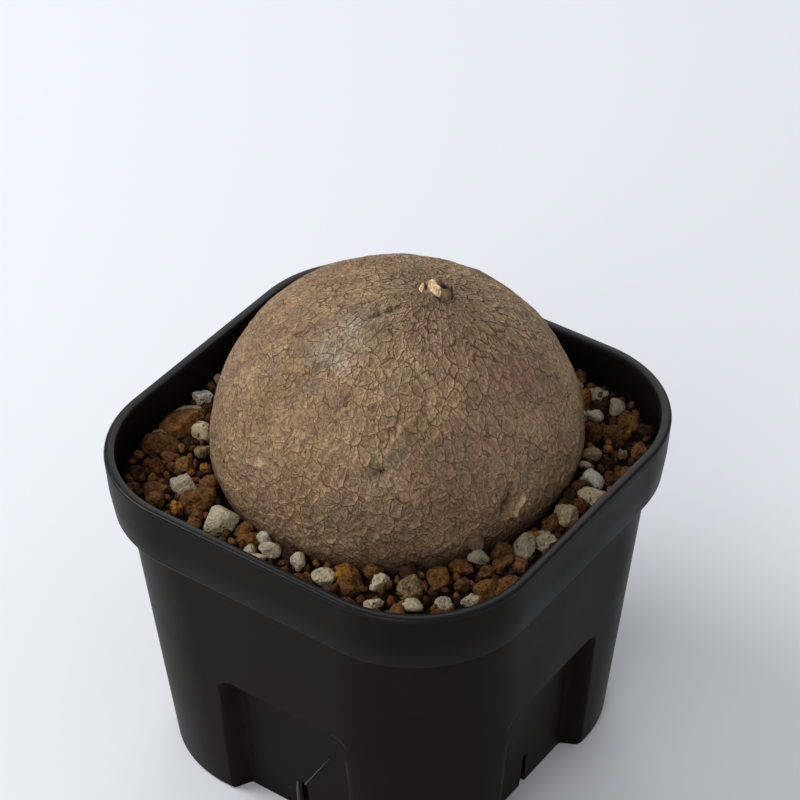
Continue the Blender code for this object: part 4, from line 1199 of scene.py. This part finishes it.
def makeStones(material):
    draw = random.Random(gravel["seed"] + 1)
    points, turns, sizes, kinds, tones, shapes = [], [], [], [], [], []
    for number, (x, y, length, kind) in enumerate(stoneSpots()):
        size = (length * 0.62, length * draw.uniform(0.44, 0.54), length * draw.uniform(0.38, 0.48))
        turn = (draw.uniform(-0.5, 0.5), draw.uniform(-0.4, 0.4), draw.uniform(0.0, math.pi))
        crowding = min(wallRoom(x, y) - length * 0.5, 0.0)
        distance = math.hypot(x, y)
        x += x / distance * crowding
        y += y / distance * crowding
        away = Vector((x, y)) - middle.xy
        crevice = caudex["radius"] + gravel["crevice"] + length * 0.36 - away.length
        if crevice > 0.0:
            x += away.x / away.length * crevice
            y += away.y / away.length * crevice
        top = size[2] * 0.88
        points.append((x, y, gritHeight(x, y) - top + draw.uniform(-0.16, 0.20) * length))
        turns.append(turn)
        sizes.append(size)
        chance = draw.random()
        kinds.append(kindDraw[kind] if kind else chance ** 1.3 * 0.96)
        tones.append(draw.random() * (1.0 if kind else 0.7))
        shapes.append(draw.randrange(12) + (12 if number < len(placedStones) else 0))
    seeds = meshObject("stoneSeeds", points, [])
    setAttribute(seeds.data, "turn", "FLOAT_VECTOR", turns)
    setAttribute(seeds.data, "size", "FLOAT_VECTOR", sizes)
    setAttribute(seeds.data, "kind", "FLOAT", kinds)
    setAttribute(seeds.data, "tone", "FLOAT", tones)
    shape = seeds.data.attributes.new("shape", "INT", "POINT")
    shape.data.foreach_set("value", shapes)
    group = rockShapes(12, 3, "plainRock", 31, 0.05)
    for rock in list(rockShapes(12, 4, "rock", 32, 0.045).objects):
        group.objects.link(rock)
    return runTree(seeds, stoneTree(False), {
        "Rock Shapes": group, "Rough Size": 600.0, "Rough Depth": 0.00095, "Material": material,
    }, "gravelStones")


def bandRing(share, lower):
    # A ring of the bed's top, at a share of the way from the pot's wall in to the caudex
    ring = []
    for x, y, _ in roundedRing(*bedEdge(), 0.0):
        outer = Vector((x, y)) - middle.xy
        inner = outer.normalized() * caudex["radius"] * 0.97
        spot = middle.xy + outer.lerp(inner, share)
        ring.append((spot.x, spot.y, gritHeight(spot.x, spot.y) - lower))
    return ring


def makeFill(material):
    rings = [bandRing(share, 0.0021) for share in (0.08, 0.35, 0.65, 0.84)]
    count = len(rings[0])
    faces = []
    for level in range(len(rings) - 1):
        for i in range(count):
            j = (i + 1) % count
            faces.append((level * count + i, level * count + j, (level + 1) * count + j, (level + 1) * count + i))
    band = meshObject("fillBand", [p for ring in rings for p in ring], faces)
    group = rockShapes(10, 2, "grain", 47, 0.05)
    return runTree(band, stoneTree(True), {
        "Rock Shapes": group, "Rough Size": 1200.0, "Rough Depth": 0.0003, "Material": material,
        "Spacing": gravel["fillSpacing"], "Seed": 5,
    }, "gravelFill")


def makeBed():
    # The soil body under the stones, with the panels' pads left free
    made = []
    shoulder = pot["height"] - pot["band"] - pot["step"]
    draw = pot["wall"] + gravel["gap"]
    corner = pot["corner"] - draw
    for z in wallLevels(pot["floor"] + gravel["gap"], shoulder):
        made.append(recessed(roundedRing(wallHalf(z) - draw, corner, z), z, draw))
    made.append(roundedRing(*bedEdge(), pot["height"] - pot["band"] + 0.0012))
    for share, lower in ((0.0, 0.0), (0.25, 0.0), (0.5, 0.0), (0.78, 0.0004), (1.0, 0.0022)):
        made.append(bandRing(share, gravel["skirt"] + lower))
    made.append([(x * 0.5, y * 0.5, z - 0.012) for x, y, z in bandRing(1.0, gravel["skirt"])])
    return lofted("gravelBed", made)


def gapShadeSoilMaterial():
    # Near-black: partly the soil's own dark colour, partly painted shade in the deep gaps between the stones
    made, tree, shader = newMaterial("soilAndGapShade", 0.95)
    space = addNode(tree, "ShaderNodeTexCoord").outputs["Object"]
    grains = voronoiOf(tree, space, 620.0, "F1", "Distance")
    blot = noiseOf(tree, space, 300.0, 4.0)
    colour = mixColour(tree, ranged(tree, blot, 0.4, 0.65, 0.0, 1.0), (0.007, 0.004, 0.002, 1.0), (0.022, 0.011, 0.006, 1.0))
    tree.links.new(colour, shader.inputs["Base Color"])
    shader.inputs["Specular IOR Level"].default_value = 0.04
    bump = addNode(tree, "ShaderNodeBump", {"Height": grains, "Strength": 1.0, "Distance": 0.0010})
    bump.invert = True
    tree.links.new(bump.outputs[0], shader.inputs["Normal"])
    return made


stonesMaterial = stoneMaterial()
gravelBed = makeBed()
setOwnMaterial(gravelBed, gapShadeSoilMaterial())
gravelStones = makeStones(stonesMaterial)
gravelFill = makeFill(stonesMaterial)
for piece in (gravelBed, gravelStones, gravelFill):
    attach(piece, "root")
    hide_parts("potting_grit")
print("gravel made:", len(gravelStones.data.polygons), "and", len(gravelFill.data.polygons), "faces")


# Floor and light
studio = {
    "floor": (0.785, 0.805, 0.830, 1.0),
    "world": (0.92, 0.95, 0.99, 1.0),
    "worldStrength": 0.47,
    "lights": [
        # name, distance to the right, away from the camera, up, size, watts, colour
        ("windowLight", -0.90, 0.20, 0.85, 0.8, 10.6, (0.98, 0.985, 1.0)),
        ("frontLight", -0.45, -0.90, 0.80, 0.8, 3.8, (1.0, 0.98, 0.95)),
        ("wallGlow", 0.10, 1.20, 0.85, 1.0, 4.0, (0.94, 0.97, 1.0)),
    ],
}

floorMesh = meshObject("floor", [(-3, -3, 0), (3, -3, 0), (3, 3, 0), (-3, 3, 0)], [(0, 1, 2, 3)], False)
floorMaterial, floorTree, floorShader = newMaterial("paleFloor", 0.7)
floorShader.inputs["Base Color"].default_value = studio["floor"]
setOwnMaterial(floorMesh, floorMaterial)

world = bpy.data.worlds.new("studio")
scene.world = world
world.use_nodes = True
sky = world.node_tree.nodes["Background"]
sky.inputs[0].default_value = studio["world"]
sky.inputs[1].default_value = studio["worldStrength"]

groundRight = Vector((right.x, right.y, 0.0)).normalized()
groundAway = Vector((-back.x, -back.y, 0.0)).normalized()
target = Vector((0.0, 0.0, 0.07))
for name, across, away, above, size, watts, colour in studio["lights"]:
    data = bpy.data.lights.new(name, "AREA")
    data.shape = "DISK"
    data.size = size
    data.energy = watts
    data.color = colour
    lamp = bpy.data.objects.new(name, data)
    scene.collection.objects.link(lamp)
    lamp.location = target + groundRight * across + groundAway * away + Vector((0.0, 0.0, above))
    lamp.rotation_euler = (target - lamp.location).to_track_quat("-Z", "Y").to_euler()
print("floor and lights set")
